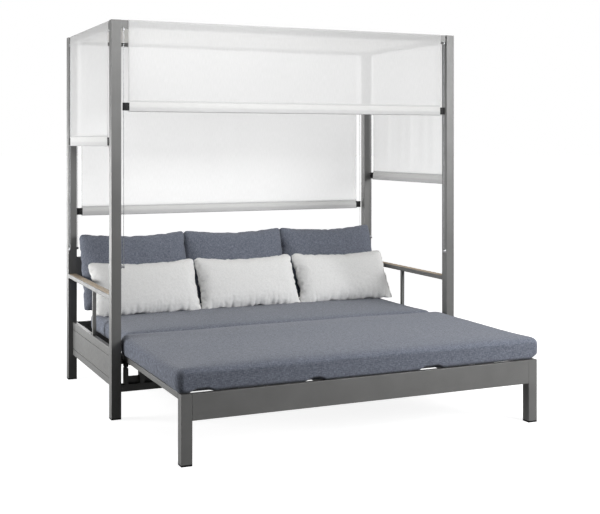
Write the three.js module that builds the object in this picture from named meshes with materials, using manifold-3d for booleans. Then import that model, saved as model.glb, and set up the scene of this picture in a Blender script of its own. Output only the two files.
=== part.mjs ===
// Outdoor daybed with a canopy: a fixed charcoal frame, a slatted bench that pulls out of it,
// four roller blinds on guide wires, a cloth roof, and loose cushions.
// Millimetres, Z up. X runs to the right, Y to the back. The pull-out bench is shown pulled out.

import * as THREE from "three";
import { mergeVertices } from "three/addons/utils/BufferGeometryUtils.js";
import Module from "manifold-3d";

const wasm = await Module();
wasm.setup();
const { Manifold, Mesh } = wasm;

// Main sizes of the frame.
const WIDTH = 2100;
const DEPTH = 1114;
const HEIGHT = 2100;
const POST = 53;
const POST_WALL = 2.5;
const REACH = 930;
const FIT = 0.3;
const POST_EDGE = 3;
const BAR_EDGE = 2;
const EDGE_STEPS = 2;

// Posts, feet and spigots.
const FOOT_PLATE = 8;
const FOOT_PLUG = 30;
const SPIGOT_LENGTH = 28;
const SPIGOT_RISE = 35;

// Top beams: hollow bars with a long slot at the outer top edge and a spring roller inside.
const BEAM_WIDTH = 42;
const BEAM_RISE = 42;
const BEAM_WALL = 2.5;
const BEAM_INSET = 8;
const BEAM_SLOT = 5;
const ROLLER_RADIUS = 14;
const ROLLER_PIN_RADIUS = 4;
const PIN_PLAY = 0.5;
const PIN_REACH = 12;
const ROLLER_END_PLAY = 1.5;

// Blinds: cloth, bottom bar in the hem, clips and guide wires.
const CLOTH_PLANE = 4;
const HEM_PLANE = 7;
const BLIND_GAP = 38;
const CLOTH = 1;
const HEM_RISE = 58;
const HEM_THICK = 10;
const HEM_EDGE = 4;
const PULLED_DOWN_SHARES = { front: 0.3542, left: 0.5012, right: 0.6884, back: 0.849 };
const WIRE_RADIUS = 1.5;
const WIRE_GAP = 14;
const WIRE_OVER_ARM = 165;
const ANCHOR_RISE = 16;
const ANCHOR_RADIUS = 5;
const EYELET_RISE = 22;
const EYELET_DEPTH = 13;
const CLIP_RISE = 42;
const CLIP_THICK = 13.6;
const CLIP_TO_POST = 3;
const CLIP_TONGUE = 6;
const CLIP_LIFT = 6;
const KNOB_RADIUS = 8;
const KNOB_REACH = 7;
const WIRE_PLAY = 1;
const RIPPLE = 2.6;
const TAUT_RIPPLE = 1;
const RIPPLE_PITCH = 190;

// Roof cloth.
const ROOF_DROP = 20;
const ROOF_SAG = 16;

// Side, back and front members.
const APRON_FOOT = 150;
const APRON_TOP = 352;
const APRON_THICK = 25;
const APRON_INSET = 28;
const APRON_WALL = 2.5;
const GROOVE_WIDTH = 6;
const GROOVE_DEPTH = 4;
const GROOVE_SHARES = [0.2, 0.78];
const LEDGE_WIDTH = 26;
const LEDGE_RISE = 12;
const RAIL_FOOT = 622;
const RAIL_TOP = 752;
const RAIL_THICK = 26;
const RAIL_INSET = 27;
const ARM_TOP = 648;
const ARM_RISE = 24;
const ARM_WALL = 2.5;
const INLAY_WIDTH = 38;
const INLAY_SINK = 6;
const INLAY_PROUD = 2;
const INLAY_END = 14;
const BALUSTER = 20;
const LOW_BEAM_FOOT = 130;
const LOW_BEAM_TOP = 168;
const FRONT_FRAME_NEAR = 58;
const FRONT_FRAME_DEPTH = 40;
const UPRIGHT_WIDTH = 26;
const UPRIGHT_SHARES = [-0.925, -0.336, 0.336, 0.925];
const END_UPRIGHT_WIDTH = 20;
const END_UPRIGHT_PLAY = 3;
const STOP_BAR_LENGTH = 150;
const STOP_BAR_RISE = 36;
const STOP_BAR_THICK = 12;
const STOP_BAR_INSET = 24;
const STOP_KNOB_RADIUS = 9;
const STOP_KNOB_REACH = 14;

// Decks: slats of the fixed part lie between slats of the pull-out bench at the same level.
const DECK_TOP = 324;
const SLAT_RISE = 28;
const SLAT_WIDTH = 40;
const SLAT_WALL = 2;
const FIXED_SLATS = 8;
const CROSS_RISE = 27;
const CROSS_DEPTH = 30;
const CROSS_BACK = 36;
const BENCH_CLEAR = 29;
const BENCH_RAIL_WIDTH = 30;
const BENCH_APRON_FOOT = 203;
const BENCH_APRON_THICK = 30;
const BENCH_LEG = 53;
const GUIDE_RADIUS = 20;
const GUIDE_WIDTH = 20;
const AXLE_RADIUS = 4;
const AXLE_PLAY = 0.4;

// Cushions and pillows.
const SEAT_THICK = 103;
const SEAT_EDGE = 34;
const SEAT_CROWN = 7;
const SEAT_DRAWN = 5;
const SEAT_OVERHANG = 14;
const SEAT_CORNER = 45;
const REAR_SEAT_SHORT = 150;
const SEAM_FROM_FRONT = 82;
const SEAM_PLAY = 2;
const BACK_SIDE_PLAY = 5;
const BACK_TALL = 480;
const BACK_THICK = 180;
const BACK_EDGE = 46;
const BACK_CROWN = 16;
const BACK_DRAWN = 20;
const BACK_LEAN = 0.32;
const PILLOW_SIDE_PLAY = 10;
const PILLOW_TALL = 365;
const PILLOW_THICK = 160;
const PILLOW_EDGE = 6;
const PILLOW_DRAWN = 28;
const PILLOW_LEAN = 0.5;
const PILLOW_PRESSED = 24;
const SETTLE_STEPS = 40;
const SETTLE_TURNS = 4;
const SETTLE_REACH = 80;
const SETTLE_CLOSE = 0.1;

// Places that follow from the sizes.
const HALF = WIDTH / 2;
const FRONT = (REACH - DEPTH) / 2;
const BACK = FRONT + DEPTH;
const BENCH_FRONT = FRONT - REACH;
const BEAM_FOOT = HEIGHT - BEAM_RISE;
const POST_INNER = HALF - POST;
const BENCH_WIDTH = 2 * (POST_INNER - BENCH_CLEAR);
const WIRE_FOOT = ARM_TOP + WIRE_OVER_ARM;
const ROOF_LEVEL = HEIGHT - ROOF_DROP;
const SLAT_FOOT = DECK_TOP - SLAT_RISE;
const APRON_INNER = HALF - APRON_INSET - APRON_THICK;
const SEAM = FRONT + SEAM_FROM_FRONT;

const CHARCOAL = 0x4c4c4c;
const BLACK = 0x141416;
const STEEL = 0xb9bbbd;
const TEAK = 0xb09a78;
const CANVAS = 0xeceae6;
const SLATE = 0x66707f;
const LIGHT_GREY = 0xd2d2d1;

const part = new THREE.Group();
part.name = "canopy_daybed";

function finish(color, roughness, metalness) {
  return new THREE.MeshStandardMaterial({ color, roughness, metalness });
}

const coated = () => finish(CHARCOAL, 0.55, 0.2);
const plastic = () => finish(BLACK, 0.6, 0);
const wire = () => finish(STEEL, 0.35, 0.9);
const wood = () => finish(TEAK, 0.65, 0);
const canvas = () => finish(CANVAS, 0.9, 0);
const upholstery = () => finish(SLATE, 0.95, 0);
const paleCloth = () => finish(LIGHT_GREY, 0.95, 0);

function add(name, geometry, material) {
  const mesh = new THREE.Mesh(geometry, material);
  mesh.name = name;
  part.add(mesh);
  return mesh;
}

// A box between two values on each axis, in any order.
function block([x0, x1], [y0, y1], [z0, z1]) {
  const size = [Math.abs(x1 - x0), Math.abs(y1 - y0), Math.abs(z1 - z0)];
  const geometry = new THREE.BoxGeometry(...size);
  geometry.translate((x0 + x1) / 2, (y0 + y1) / 2, (z0 + z1) / 2);
  return geometry;
}

const AXES = [new THREE.Vector3(1, 0, 0), new THREE.Vector3(0, 1, 0), new THREE.Vector3(0, 0, 1)];

// Outline of a bar's section with rounded corners.
function roundedOutline([a0, a1], [b0, b1], radius) {
  const outline = new THREE.Shape();
  const quarter = Math.PI / 2;
  outline.absarc(a1 - radius, b0 + radius, radius, -quarter, 0);
  outline.absarc(a1 - radius, b1 - radius, radius, 0, quarter);
  outline.absarc(a0 + radius, b1 - radius, radius, quarter, 2 * quarter);
  outline.absarc(a0 + radius, b0 + radius, radius, 2 * quarter, 3 * quarter);
  return outline;
}

// A bar between two values on each axis, its section rounded and its length along the given axis.
function bar(axis, x, y, z, radius) {
  const turned = { x: [y, z, x], y: [z, x, y], z: [x, y, z] }[axis];
  const [a, b, along] = turned.map(([from, to]) => [Math.min(from, to), Math.max(from, to)]);
  const outline = roundedOutline(a, b, radius);
  const depth = along[1] - along[0];
  const geometry = new THREE.ExtrudeGeometry(outline, { depth, bevelEnabled: false, curveSegments: EDGE_STEPS });
  geometry.translate(0, 0, along[0]);
  const [ex, ey, ez] = AXES;
  const bases = { x: [ey, ez, ex], y: [ez, ex, ey], z: [ex, ey, ez] };
  return geometry.applyMatrix4(new THREE.Matrix4().makeBasis(...bases[axis]));
}

// A round bar from a point along one axis.
function rod(radius, from, axis, length, sides = 16) {
  const geometry = new THREE.CylinderGeometry(radius, radius, length, sides);
  geometry.translate(0, length / 2, 0);
  if (axis === "x") geometry.rotateZ(-Math.PI / 2);
  if (axis === "z") geometry.rotateX(Math.PI / 2);
  geometry.translate(...from);
  return geometry;
}

function toSolid(geometry) {
  const bare = new THREE.BufferGeometry();
  bare.setAttribute("position", geometry.getAttribute("position").clone());
  if (geometry.index) bare.setIndex(geometry.index.clone());
  const merged = mergeVertices(bare, FIT / 100);
  const vertProperties = new Float32Array(merged.getAttribute("position").array);
  const triVerts = new Uint32Array(merged.index.array);
  return new Manifold(new Mesh({ numProp: 3, vertProperties, triVerts }));
}

function toGeometry(solid) {
  const { numProp, vertProperties, triVerts } = solid.getMesh();
  const place = new Float32Array((vertProperties.length / numProp) * 3);
  for (let i = 0; i < place.length / 3; i += 1) {
    place.set(vertProperties.subarray(i * numProp, i * numProp + 3), i * 3);
  }
  const geometry = new THREE.BufferGeometry();
  geometry.setAttribute("position", new THREE.BufferAttribute(place, 3));
  geometry.setIndex(new THREE.BufferAttribute(new Uint32Array(triVerts), 1));
  const faceted = geometry.toNonIndexed();
  faceted.computeVertexNormals();
  return faceted;
}

// Pieces welded into one body, less the holes.
function weld(pieces, holes = []) {
  const joined = pieces.map(toSolid).reduce((all, one) => all.add(one));
  return toGeometry(holes.map(toSolid).reduce((all, one) => all.subtract(one), joined));
}

// The same block, rod or list of ranges turned from the front run into a side run.
// A run is given by its direction: "x" for front and back, "y" for the two sides.
function runBlock(run, along, across, up) {
  return run === "x" ? block(along, across, up) : block(across, along, up);
}

function runBar(run, along, across, up, radius) {
  return run === "x" ? bar(run, along, across, up, radius) : bar(run, across, along, up, radius);
}

function runRod(run, radius, along, across, up, length) {
  const from = run === "x" ? [along, across, up] : [across, along, up];
  return rod(radius, from, run, length, 20);
}

// The four sides of the canopy. "outer" is the posts' outer plane and "inward" points to the middle.
const SIDES = [
  { name: "front", run: "x", start: -POST_INNER, end: POST_INNER, outer: FRONT, inward: 1 },
  { name: "back", run: "x", start: -POST_INNER, end: POST_INNER, outer: BACK, inward: -1 },
  { name: "left", run: "y", start: FRONT + POST, end: BACK - POST, outer: -HALF, inward: 1 },
  { name: "right", run: "y", start: FRONT + POST, end: BACK - POST, outer: HALF, inward: -1 },
];
const RIPPLES = { front: TAUT_RIPPLE, back: TAUT_RIPPLE, left: TAUT_RIPPLE, right: RIPPLE };

function inFrom(side, distance) {
  return side.outer + side.inward * distance;
}

// Each blind is pulled down by its share of the guide wire's height.
function hemFoot(side) {
  return BEAM_FOOT - PULLED_DOWN_SHARES[side.name] * (BEAM_FOOT - WIRE_FOOT);
}

const BEAM_MIDDLE = BEAM_INSET + BEAM_WIDTH / 2;
const ROLLER_LEVEL = BEAM_FOOT + BEAM_RISE / 2;

// Corner post: square tube with a closed top, two spigots and their pin holes.
function postBody(left, front) {
  const x0 = left ? -HALF : HALF - POST;
  const y0 = front ? FRONT : BACK - POST;
  const shell = bar("z", [x0, x0 + POST], [y0, y0 + POST], [FOOT_PLATE + FIT, HEIGHT], POST_EDGE);
  const inX = [x0 + POST_WALL, x0 + POST - POST_WALL];
  const inY = [y0 + POST_WALL, y0 + POST - POST_WALL];
  const hollow = block(inX, inY, [0, HEIGHT - POST_WALL]);
  const names = [front ? "front" : "back", left ? "left" : "right"];
  const sides = SIDES.filter(({ name }) => names.includes(name));
  const pieces = [toSolid(shell).subtract(toSolid(hollow))];
  for (const side of sides) {
    const atStart = side.run === "x" ? left : front;
    pieces.push(spigot(side, atStart));
  }
  return toGeometry(pieces.reduce((all, one) => all.add(one)));
}

function spigot(side, atStart) {
  const root = atStart ? side.start : side.end;
  const away = atStart ? 1 : -1;
  const half = BEAM_WIDTH / 2 - BEAM_WALL - FIT;
  const across = [inFrom(side, BEAM_MIDDLE - half), inFrom(side, BEAM_MIDDLE + half)];
  const along = [root - away * POST_WALL / 2, root + away * SPIGOT_LENGTH];
  const up = [ROLLER_LEVEL - SPIGOT_RISE / 2, ROLLER_LEVEL + SPIGOT_RISE / 2];
  const body = runBlock(side.run, along, across, up);
  const holeFrom = atStart ? root + POST_WALL : root - SPIGOT_LENGTH - FIT;
  const holeLength = SPIGOT_LENGTH - POST_WALL + FIT;
  const radius = ROLLER_PIN_RADIUS + PIN_PLAY;
  const hole = runRod(side.run, radius, holeFrom, inFrom(side, BEAM_MIDDLE), ROLLER_LEVEL, holeLength);
  return toSolid(body).subtract(toSolid(hole));
}

// Foot plug: a plate under the tube and a plug inside it.
function footBody(x0, y0, size) {
  const plate = bar("z", [x0, x0 + size], [y0, y0 + size], [0, FOOT_PLATE], POST_EDGE);
  const rim = POST_WALL + FIT;
  const plugX = [x0 + rim, x0 + size - rim];
  const plugY = [y0 + rim, y0 + size - rim];
  return weld([plate, block(plugX, plugY, [FOOT_PLATE / 2, FOOT_PLATE + FOOT_PLUG])]);
}

for (const [name, left, front] of [["fl", true, true], ["fr", false, true], ["bl", true, false], ["br", false, false]]) {
  add(`post_${name}`, postBody(left, front), coated());
  const corner = [left ? -HALF : HALF - POST, front ? FRONT : BACK - POST];
  add(`post_foot_${name}`, footBody(...corner, POST), plastic());
}

// Top beam: a hollow bar with a slot along its outer top edge. Its ends stop short of the posts.
function beamBody(side) {
  const along = [side.start + FIT, side.end - FIT];
  const near = inFrom(side, BEAM_INSET);
  const far = inFrom(side, BEAM_INSET + BEAM_WIDTH);
  const shell = runBar(side.run, along, [near, far], [BEAM_FOOT, HEIGHT], BAR_EDGE);
  const wall = side.inward * BEAM_WALL;
  const past = [along[0] - FIT, along[1] + FIT];
  const inside = [BEAM_FOOT + BEAM_WALL, HEIGHT - BEAM_WALL];
  const hollow = runBlock(side.run, past, [near + wall, far - wall], inside);
  const slotAcross = [near + wall, near + wall + side.inward * BEAM_SLOT];
  const slotEnds = [along[0] + SPIGOT_LENGTH + FIT, along[1] - SPIGOT_LENGTH - FIT];
  const slot = runBlock(side.run, slotEnds, slotAcross, [HEIGHT - 2 * BEAM_WALL, HEIGHT + FIT]);
  return weld([shell], [hollow, slot]);
}

// Spring roller with the wound cloth's end, and a pin at each end that turns in a spigot.
function rollerBody(side) {
  const inset = SPIGOT_LENGTH + ROLLER_END_PLAY;
  const start = side.start + inset;
  const length = side.end - inset - start;
  const middle = inFrom(side, BEAM_MIDDLE);
  const barrel = runRod(side.run, ROLLER_RADIUS, start, middle, ROLLER_LEVEL, length);
  const pinLength = length + 2 * PIN_REACH;
  const pin = runRod(side.run, ROLLER_PIN_RADIUS, start - PIN_REACH, middle, ROLLER_LEVEL, pinLength);
  return weld([barrel, pin]);
}

// Cloth of a blind: a thin sheet with soft upright folds. It leaves the beam's slot at the top,
// hangs down over the beam's outer face and ends in the hem.
function blindBody(side) {
  const foot = hemFoot(side) + HEM_RISE + FIT;
  const top = HEIGHT - BEAM_WALL;
  const length = side.end - side.start - 2 * BLIND_GAP;
  const steps = Math.round((length / RIPPLE_PITCH) * 4);
  const outline = new THREE.Shape();
  const depthAt = (i) => RIPPLES[side.name] * Math.sin((i * Math.PI) / 2) * Math.sin((i / steps) * Math.PI);
  outline.moveTo(0, -CLOTH / 2);
  for (let i = 1; i <= steps; i += 1) outline.lineTo((length * i) / steps, depthAt(i) - CLOTH / 2);
  for (let i = steps; i >= 0; i -= 1) outline.lineTo((length * i) / steps, depthAt(i) + CLOTH / 2);
  const geometry = new THREE.ExtrudeGeometry(outline, { depth: top - foot, bevelEnabled: false });
  if (side.run === "y") geometry.rotateZ(Math.PI / 2);
  const along = side.start + BLIND_GAP;
  const across = inFrom(side, CLOTH_PLANE);
  const place = side.run === "x" ? [along, across, foot] : [across, along, foot];
  return geometry.translate(...place);
}

// Bottom bar in its hem pocket, with a clip at each end that runs on the guide wire.
function barBody(side) {
  const foot = hemFoot(side);
  const up = [foot, foot + HEM_RISE];
  const half = HEM_THICK / 2;
  const across = [inFrom(side, HEM_PLANE - half), inFrom(side, HEM_PLANE + half)];
  const along = [side.start + BLIND_GAP, side.end - BLIND_GAP];
  const pieces = [runBar(side.run, along, across, up, HEM_EDGE)];
  const holes = [];
  for (const atStart of [true, false]) {
    pieces.push(...clipPieces(side, atStart, foot));
    const at = atStart ? side.start + WIRE_GAP : side.end - WIRE_GAP;
    const from = runPoint(side, at, HEM_PLANE, foot - CLIP_RISE);
    holes.push(rod(WIRE_RADIUS + WIRE_PLAY, from, "z", HEM_RISE + 2 * CLIP_RISE, 12));
  }
  return weld(pieces, holes);
}

function runPoint(side, along, inward, up) {
  const across = inFrom(side, inward);
  return side.run === "x" ? [along, across, up] : [across, along, up];
}

function clipPieces(side, atStart, foot) {
  const half = CLIP_THICK / 2;
  const across = [inFrom(side, HEM_PLANE - half), inFrom(side, HEM_PLANE + half)];
  const near = atStart ? side.start + CLIP_TO_POST : side.end - CLIP_TO_POST;
  const reach = BLIND_GAP + CLIP_TONGUE;
  const far = atStart ? side.start + reach : side.end - reach;
  const up = [foot + CLIP_LIFT, foot + CLIP_LIFT + CLIP_RISE];
  const body = runBlock(side.run, [near, far], across, up);
  const knobAt = (near + far) / 2;
  const knobUp = foot + CLIP_LIFT + CLIP_RISE / 2;
  const turn = side.run === "x" ? "y" : "x";
  const from = runPoint(side, knobAt, HEM_PLANE, knobUp);
  const knob = rod(KNOB_RADIUS, from, turn, half + KNOB_REACH, 16);
  const back = side.inward < 0 ? -half - KNOB_REACH : 0;
  knob.translate(turn === "x" ? back : 0, turn === "y" ? back : 0, 0);
  return [body, knob];
}

// Guide wire with its anchor under the beam and its eyelet on the post.
function wireBody(side, atStart) {
  const at = atStart ? side.start + WIRE_GAP : side.end - WIRE_GAP;
  const top = BEAM_FOOT - FIT;
  const strand = rod(WIRE_RADIUS, runPoint(side, at, HEM_PLANE, WIRE_FOOT), "z", top - WIRE_FOOT, 10);
  const anchorFrom = runPoint(side, at, HEM_PLANE, top - ANCHOR_RISE);
  const anchor = rod(ANCHOR_RADIUS, anchorFrom, "z", ANCHOR_RISE, 12);
  const post = atStart ? side.start + FIT : side.end - FIT;
  const far = atStart ? at + ANCHOR_RADIUS : at - ANCHOR_RADIUS;
  const half = EYELET_DEPTH / 2;
  const across = [inFrom(side, HEM_PLANE - half), inFrom(side, HEM_PLANE + half)];
  const eyelet = runBlock(side.run, [post, far], across, [WIRE_FOOT - EYELET_RISE, WIRE_FOOT]);
  const overlap = rod(WIRE_RADIUS, runPoint(side, at, HEM_PLANE, WIRE_FOOT - half), "z", EYELET_DEPTH, 10);
  return weld([strand, overlap, anchor, eyelet]);
}

for (const side of SIDES) {
  add(`beam_${side.name}`, beamBody(side), coated());
  add(`roller_${side.name}`, rollerBody(side), wire());
  add(`blind_${side.name}`, blindBody(side), canvas());
  add(`bar_${side.name}`, barBody(side), canvas());
  add(`wire_${side.name}_1`, wireBody(side, true), wire());
  add(`wire_${side.name}_2`, wireBody(side, false), wire());
}

// Roof cloth: hangs a little between the inner faces of the top beams.
function roofBody() {
  const inset = BEAM_INSET + BEAM_WIDTH + FIT;
  const wide = WIDTH - 2 * inset;
  const deep = DEPTH - 2 * inset;
  const geometry = new THREE.BoxGeometry(wide, deep, CLOTH, 12, 8, 1);
  const place = geometry.getAttribute("position");
  for (let i = 0; i < place.count; i += 1) {
    const u = (2 * place.getX(i)) / wide;
    const v = (2 * place.getY(i)) / deep;
    const sag = ROOF_SAG * (1 - u * u) * (1 - v * v);
    place.setZ(i, place.getZ(i) + ROOF_LEVEL - sag);
  }
  return notchCorners(geometry).translate(0, (FRONT + BACK) / 2, 0);
}

// The posts stand inside the beams' corner, so the cloth is cut away round them.
function notchCorners(geometry) {
  const inset = BEAM_INSET + BEAM_WIDTH;
  const cut = POST - inset + FIT;
  const x = HALF - inset;
  const y = DEPTH / 2 - inset;
  const notches = [];
  for (const sx of [-1, 1]) {
    for (const sy of [-1, 1]) {
      notches.push(block([sx * x, sx * (x - cut)], [sy * y, sy * (y - cut)], [BEAM_FOOT, HEIGHT]));
    }
  }
  return weld([geometry], notches);
}

add("roof_cloth", roofBody(), canvas());

// Side apron: a hollow plank, open at its ends against the posts, with two long grooves outside and
// a ledge inside for the bench's cross bar.
function sideApron(sign) {
  const outer = HALF - APRON_INSET;
  const along = [FRONT + POST + FIT, BACK - POST - FIT];
  const plank = bar("y", [sign * outer, sign * APRON_INNER], along, [APRON_FOOT, APRON_TOP], BAR_EDGE);
  const hollowX = [sign * (outer - GROOVE_DEPTH - APRON_WALL), sign * (APRON_INNER + APRON_WALL)];
  const hollowZ = [APRON_FOOT + APRON_WALL, APRON_TOP - APRON_WALL];
  const hollow = block(hollowX, [along[0] - FIT, along[1] + FIT], hollowZ);
  const grooves = GROOVE_SHARES.map((share) => {
    const z = APRON_FOOT + share * (APRON_TOP - APRON_FOOT);
    const depth = [sign * (outer + FIT), sign * (outer - GROOVE_DEPTH)];
    const past = [along[0] - FIT, along[1] + FIT];
    return block(depth, past, [z - GROOVE_WIDTH / 2, z + GROOVE_WIDTH / 2]);
  });
  const ledgeTop = SLAT_FOOT - FIT - CROSS_RISE - FIT;
  const ledgeX = [sign * (APRON_INNER + APRON_WALL / 2), sign * (APRON_INNER - LEDGE_WIDTH)];
  const ledgeY = [FRONT + FRONT_FRAME_NEAR + FRONT_FRAME_DEPTH + FIT, along[1] - APRON_THICK];
  const ledge = block(ledgeX, ledgeY, [ledgeTop - LEDGE_RISE, ledgeTop]);
  return weld([plank, ledge], [hollow, ...grooves]);
}

add("side_apron_l", sideApron(-1), coated());
add("side_apron_r", sideApron(1), coated());

const backOuter = BACK - APRON_INSET;
const backInner = backOuter - APRON_THICK;
const railBack = BACK - RAIL_INSET;

// Hollow plank across the width, open at both ends.
function crossPlank(half, [near, far], [foot, top]) {
  const shell = bar("x", [-half, half], [near, far], [foot, top], BAR_EDGE);
  const inY = [near + APRON_WALL, far - APRON_WALL];
  const inZ = [foot + APRON_WALL, top - APRON_WALL];
  return weld([shell], [block([-half - FIT, half + FIT], inY, inZ)]);
}

const plankHalf = POST_INNER - FIT;
add("back_apron", crossPlank(plankHalf, [backInner, backOuter], [APRON_FOOT, APRON_TOP]), coated());
add("back_rail", crossPlank(plankHalf, [railBack - RAIL_THICK, railBack], [RAIL_FOOT, RAIL_TOP]), coated());

// Armrest: a flat tube between the posts, open at its ends, with a recess for the inlay in its top
// and one baluster below it.
function armrest(sign) {
  const along = [FRONT + POST + FIT, BACK - POST - FIT];
  const foot = ARM_TOP - ARM_RISE;
  const arm = bar("y", [sign * HALF, sign * POST_INNER], along, [foot, ARM_TOP], POST_EDGE);
  const inX = [sign * (HALF - ARM_WALL), sign * (POST_INNER + ARM_WALL)];
  const inY = [along[0] - FIT, along[1] + FIT];
  const hollow = block(inX, inY, [foot + ARM_WALL, ARM_TOP - INLAY_SINK - FIT - ARM_WALL]);
  const middle = HALF - APRON_INSET - APRON_THICK / 2;
  const y = (FRONT + BACK) / 2;
  const post = bar(
    "z",
    [sign * (middle - BALUSTER / 2), sign * (middle + BALUSTER / 2)],
    [y - BALUSTER / 2, y + BALUSTER / 2],
    [APRON_TOP + FIT, foot + ARM_WALL / 2],
    BAR_EDGE,
  );
  return weld([arm, post], [hollow, inlay(sign, FIT)]);
}

function inlay(sign, play) {
  const middle = HALF - POST / 2;
  const half = INLAY_WIDTH / 2 + play;
  const along = [FRONT + POST + INLAY_END - play, BACK - POST - INLAY_END + play];
  const up = [ARM_TOP - INLAY_SINK - play, ARM_TOP + INLAY_PROUD];
  return block([sign * (middle - half), sign * (middle + half)], along, up);
}

add("armrest_l", armrest(-1), coated());
add("armrest_r", armrest(1), coated());
add("arm_inlay_l", inlay(-1, 0), wood());
add("arm_inlay_r", inlay(1, 0), wood());

// Lower front frame: low beam, uprights, cross support under the slats, and two roller axles.
const frameY = [FRONT + FRONT_FRAME_NEAR, FRONT + FRONT_FRAME_NEAR + FRONT_FRAME_DEPTH];
const crossTop = SLAT_FOOT - FIT;
const benchInner = BENCH_WIDTH / 2 - BENCH_RAIL_WIDTH;
const axleLevel = SLAT_FOOT - FIT - GUIDE_RADIUS;
const axleY = (frameY[0] + frameY[1]) / 2;

function frontFrame() {
  const reach = APRON_INNER - FIT;
  const low = bar("x", [-reach, reach], frameY, [LOW_BEAM_FOOT, LOW_BEAM_TOP], BAR_EDGE);
  const lowY = [frameY[0] + APRON_WALL, frameY[1] - APRON_WALL];
  const lowZ = [LOW_BEAM_FOOT + APRON_WALL, LOW_BEAM_TOP - APRON_WALL];
  const hollow = block([-reach - FIT, reach + FIT], lowY, lowZ);
  const crossEnd = benchInner - FIT;
  const cross = block([-crossEnd, crossEnd], frameY, [crossTop - CROSS_RISE, crossTop]);
  const uprights = UPRIGHT_SHARES.map((share) => {
    const x = share * benchInner;
    const up = [LOW_BEAM_TOP - APRON_WALL / 2, crossTop - CROSS_RISE / 2];
    return bar("z", [x - UPRIGHT_WIDTH / 2, x + UPRIGHT_WIDTH / 2], frameY, up, BAR_EDGE);
  });
  const axleHalf = benchInner + BENCH_RAIL_WIDTH - POST_WALL;
  const axle = rod(AXLE_RADIUS, [-axleHalf, axleY, axleLevel], "x", 2 * axleHalf, 12);
  const ends = [-1, 1].flatMap((sign) => [endUpright(sign), ...stopBar(sign)]);
  return weld([low, cross, axle, ...uprights, ...ends], [hollow]);
}

// Upright below the guide roller, near each end of the low beam.
function endUpright(sign) {
  const middle = sign * (benchInner + BENCH_RAIL_WIDTH / 2);
  const half = END_UPRIGHT_WIDTH / 2;
  const up = [LOW_BEAM_TOP - APRON_WALL / 2, axleLevel - GUIDE_RADIUS - END_UPRIGHT_PLAY];
  return bar("z", [middle - half, middle + half], frameY, up, BAR_EDGE);
}

// Short bar that stands on the low beam, with a stop knob at its inner end.
function stopBar(sign) {
  const outer = BENCH_WIDTH / 2 - STOP_BAR_INSET;
  const inner = outer - STOP_BAR_LENGTH;
  const y = [frameY[1] - STOP_BAR_THICK, frameY[1]];
  const top = LOW_BEAM_TOP + STOP_BAR_RISE;
  const plate = block([sign * outer, sign * inner], y, [LOW_BEAM_TOP - APRON_WALL / 2, top]);
  const knobLength = STOP_BAR_THICK + STOP_KNOB_REACH;
  const from = [sign * inner, y[1] - knobLength, top - STOP_KNOB_RADIUS];
  return [plate, rod(STOP_KNOB_RADIUS, from, "y", knobLength, 16)];
}

function guideRoller(sign) {
  const middle = sign * (benchInner + BENCH_RAIL_WIDTH / 2);
  const from = [middle - GUIDE_WIDTH / 2, axleY, axleLevel];
  const wheel = rod(GUIDE_RADIUS, from, "x", GUIDE_WIDTH, 24);
  const holeFrom = [from[0] - FIT, axleY, axleLevel];
  return weld([wheel], [rod(AXLE_RADIUS + AXLE_PLAY, holeFrom, "x", GUIDE_WIDTH + 2 * FIT, 12)]);
}

add("front_frame", frontFrame(), coated());
add("guide_roller_l", guideRoller(-1), plastic());
add("guide_roller_r", guideRoller(1), plastic());

// Fixed deck: slats front to back on a rear bar. Their front ends rest on the cross support.
const slatPitch = (2 * benchInner) / (2 * FIXED_SLATS);

function fixedDeck() {
  const slats = [];
  const hollows = [];
  const barY = [backInner - FIT - CROSS_DEPTH / 2, backInner - FIT];
  for (let i = 0; i < FIXED_SLATS; i += 1) {
    const x = -benchInner + slatPitch * (2 * i + 1);
    slats.push(tube([x - SLAT_WIDTH / 2, x + SLAT_WIDTH / 2], [frameY[0], barY[1]]));
    hollows.push(tubeHollow([x - SLAT_WIDTH / 2, x + SLAT_WIDTH / 2], [frameY[0], barY[0]]));
  }
  const end = POST_INNER - FIT;
  const rear = block([-end, end], barY, [SLAT_FOOT, DECK_TOP]);
  return weld([rear, ...slats], hollows);
}

// A slat or side rail is a flat tube, open at its front end.
function tube(x, y) {
  return bar("y", x, y, [SLAT_FOOT, DECK_TOP], BAR_EDGE);
}

function tubeHollow([x0, x1], [near, far]) {
  const wall = Math.sign(x1 - x0) * SLAT_WALL;
  return block([x0 + wall, x1 - wall], [near - FIT, far], [SLAT_FOOT + SLAT_WALL, DECK_TOP - SLAT_WALL]);
}

add("seat_deck", fixedDeck(), coated());

// Pull-out bench: front apron, two legs, and a deck of slats and side rails on a rear cross bar.
const benchSide = BENCH_WIDTH / 2;
const benchDeckFront = BENCH_FRONT + BENCH_APRON_THICK + FIT;
const crossBack = FRONT + FRONT_FRAME_NEAR + FRONT_FRAME_DEPTH + CROSS_BACK;

function benchDeck() {
  const places = [];
  for (let i = 1; i < FIXED_SLATS; i += 1) {
    const x = -benchInner + slatPitch * 2 * i;
    places.push([[x - SLAT_WIDTH / 2, x + SLAT_WIDTH / 2], benchDeckFront]);
  }
  for (const sign of [-1, 1]) {
    places.push([[sign * benchInner, sign * benchSide], BENCH_FRONT + BENCH_LEG + FIT]);
  }
  const barY = [crossBack - CROSS_DEPTH, crossBack];
  const end = APRON_INNER - LEDGE_WIDTH / 3;
  const bar = block([-end, end], barY, [SLAT_FOOT - FIT - CROSS_RISE, SLAT_FOOT - FIT]);
  const tubes = places.map(([x, near]) => tube(x, [near, crossBack]));
  const hollows = places.map(([x, near]) => tubeHollow(x, [near, barY[0]]));
  // The slats' ends are solid where they are welded to the cross bar below them.
  const welds = places.map(([x]) => block(x, barY, [SLAT_FOOT - CROSS_RISE / 2, SLAT_FOOT + SLAT_RISE / 2]));
  return weld([bar, ...tubes, ...welds], hollows);
}

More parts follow.
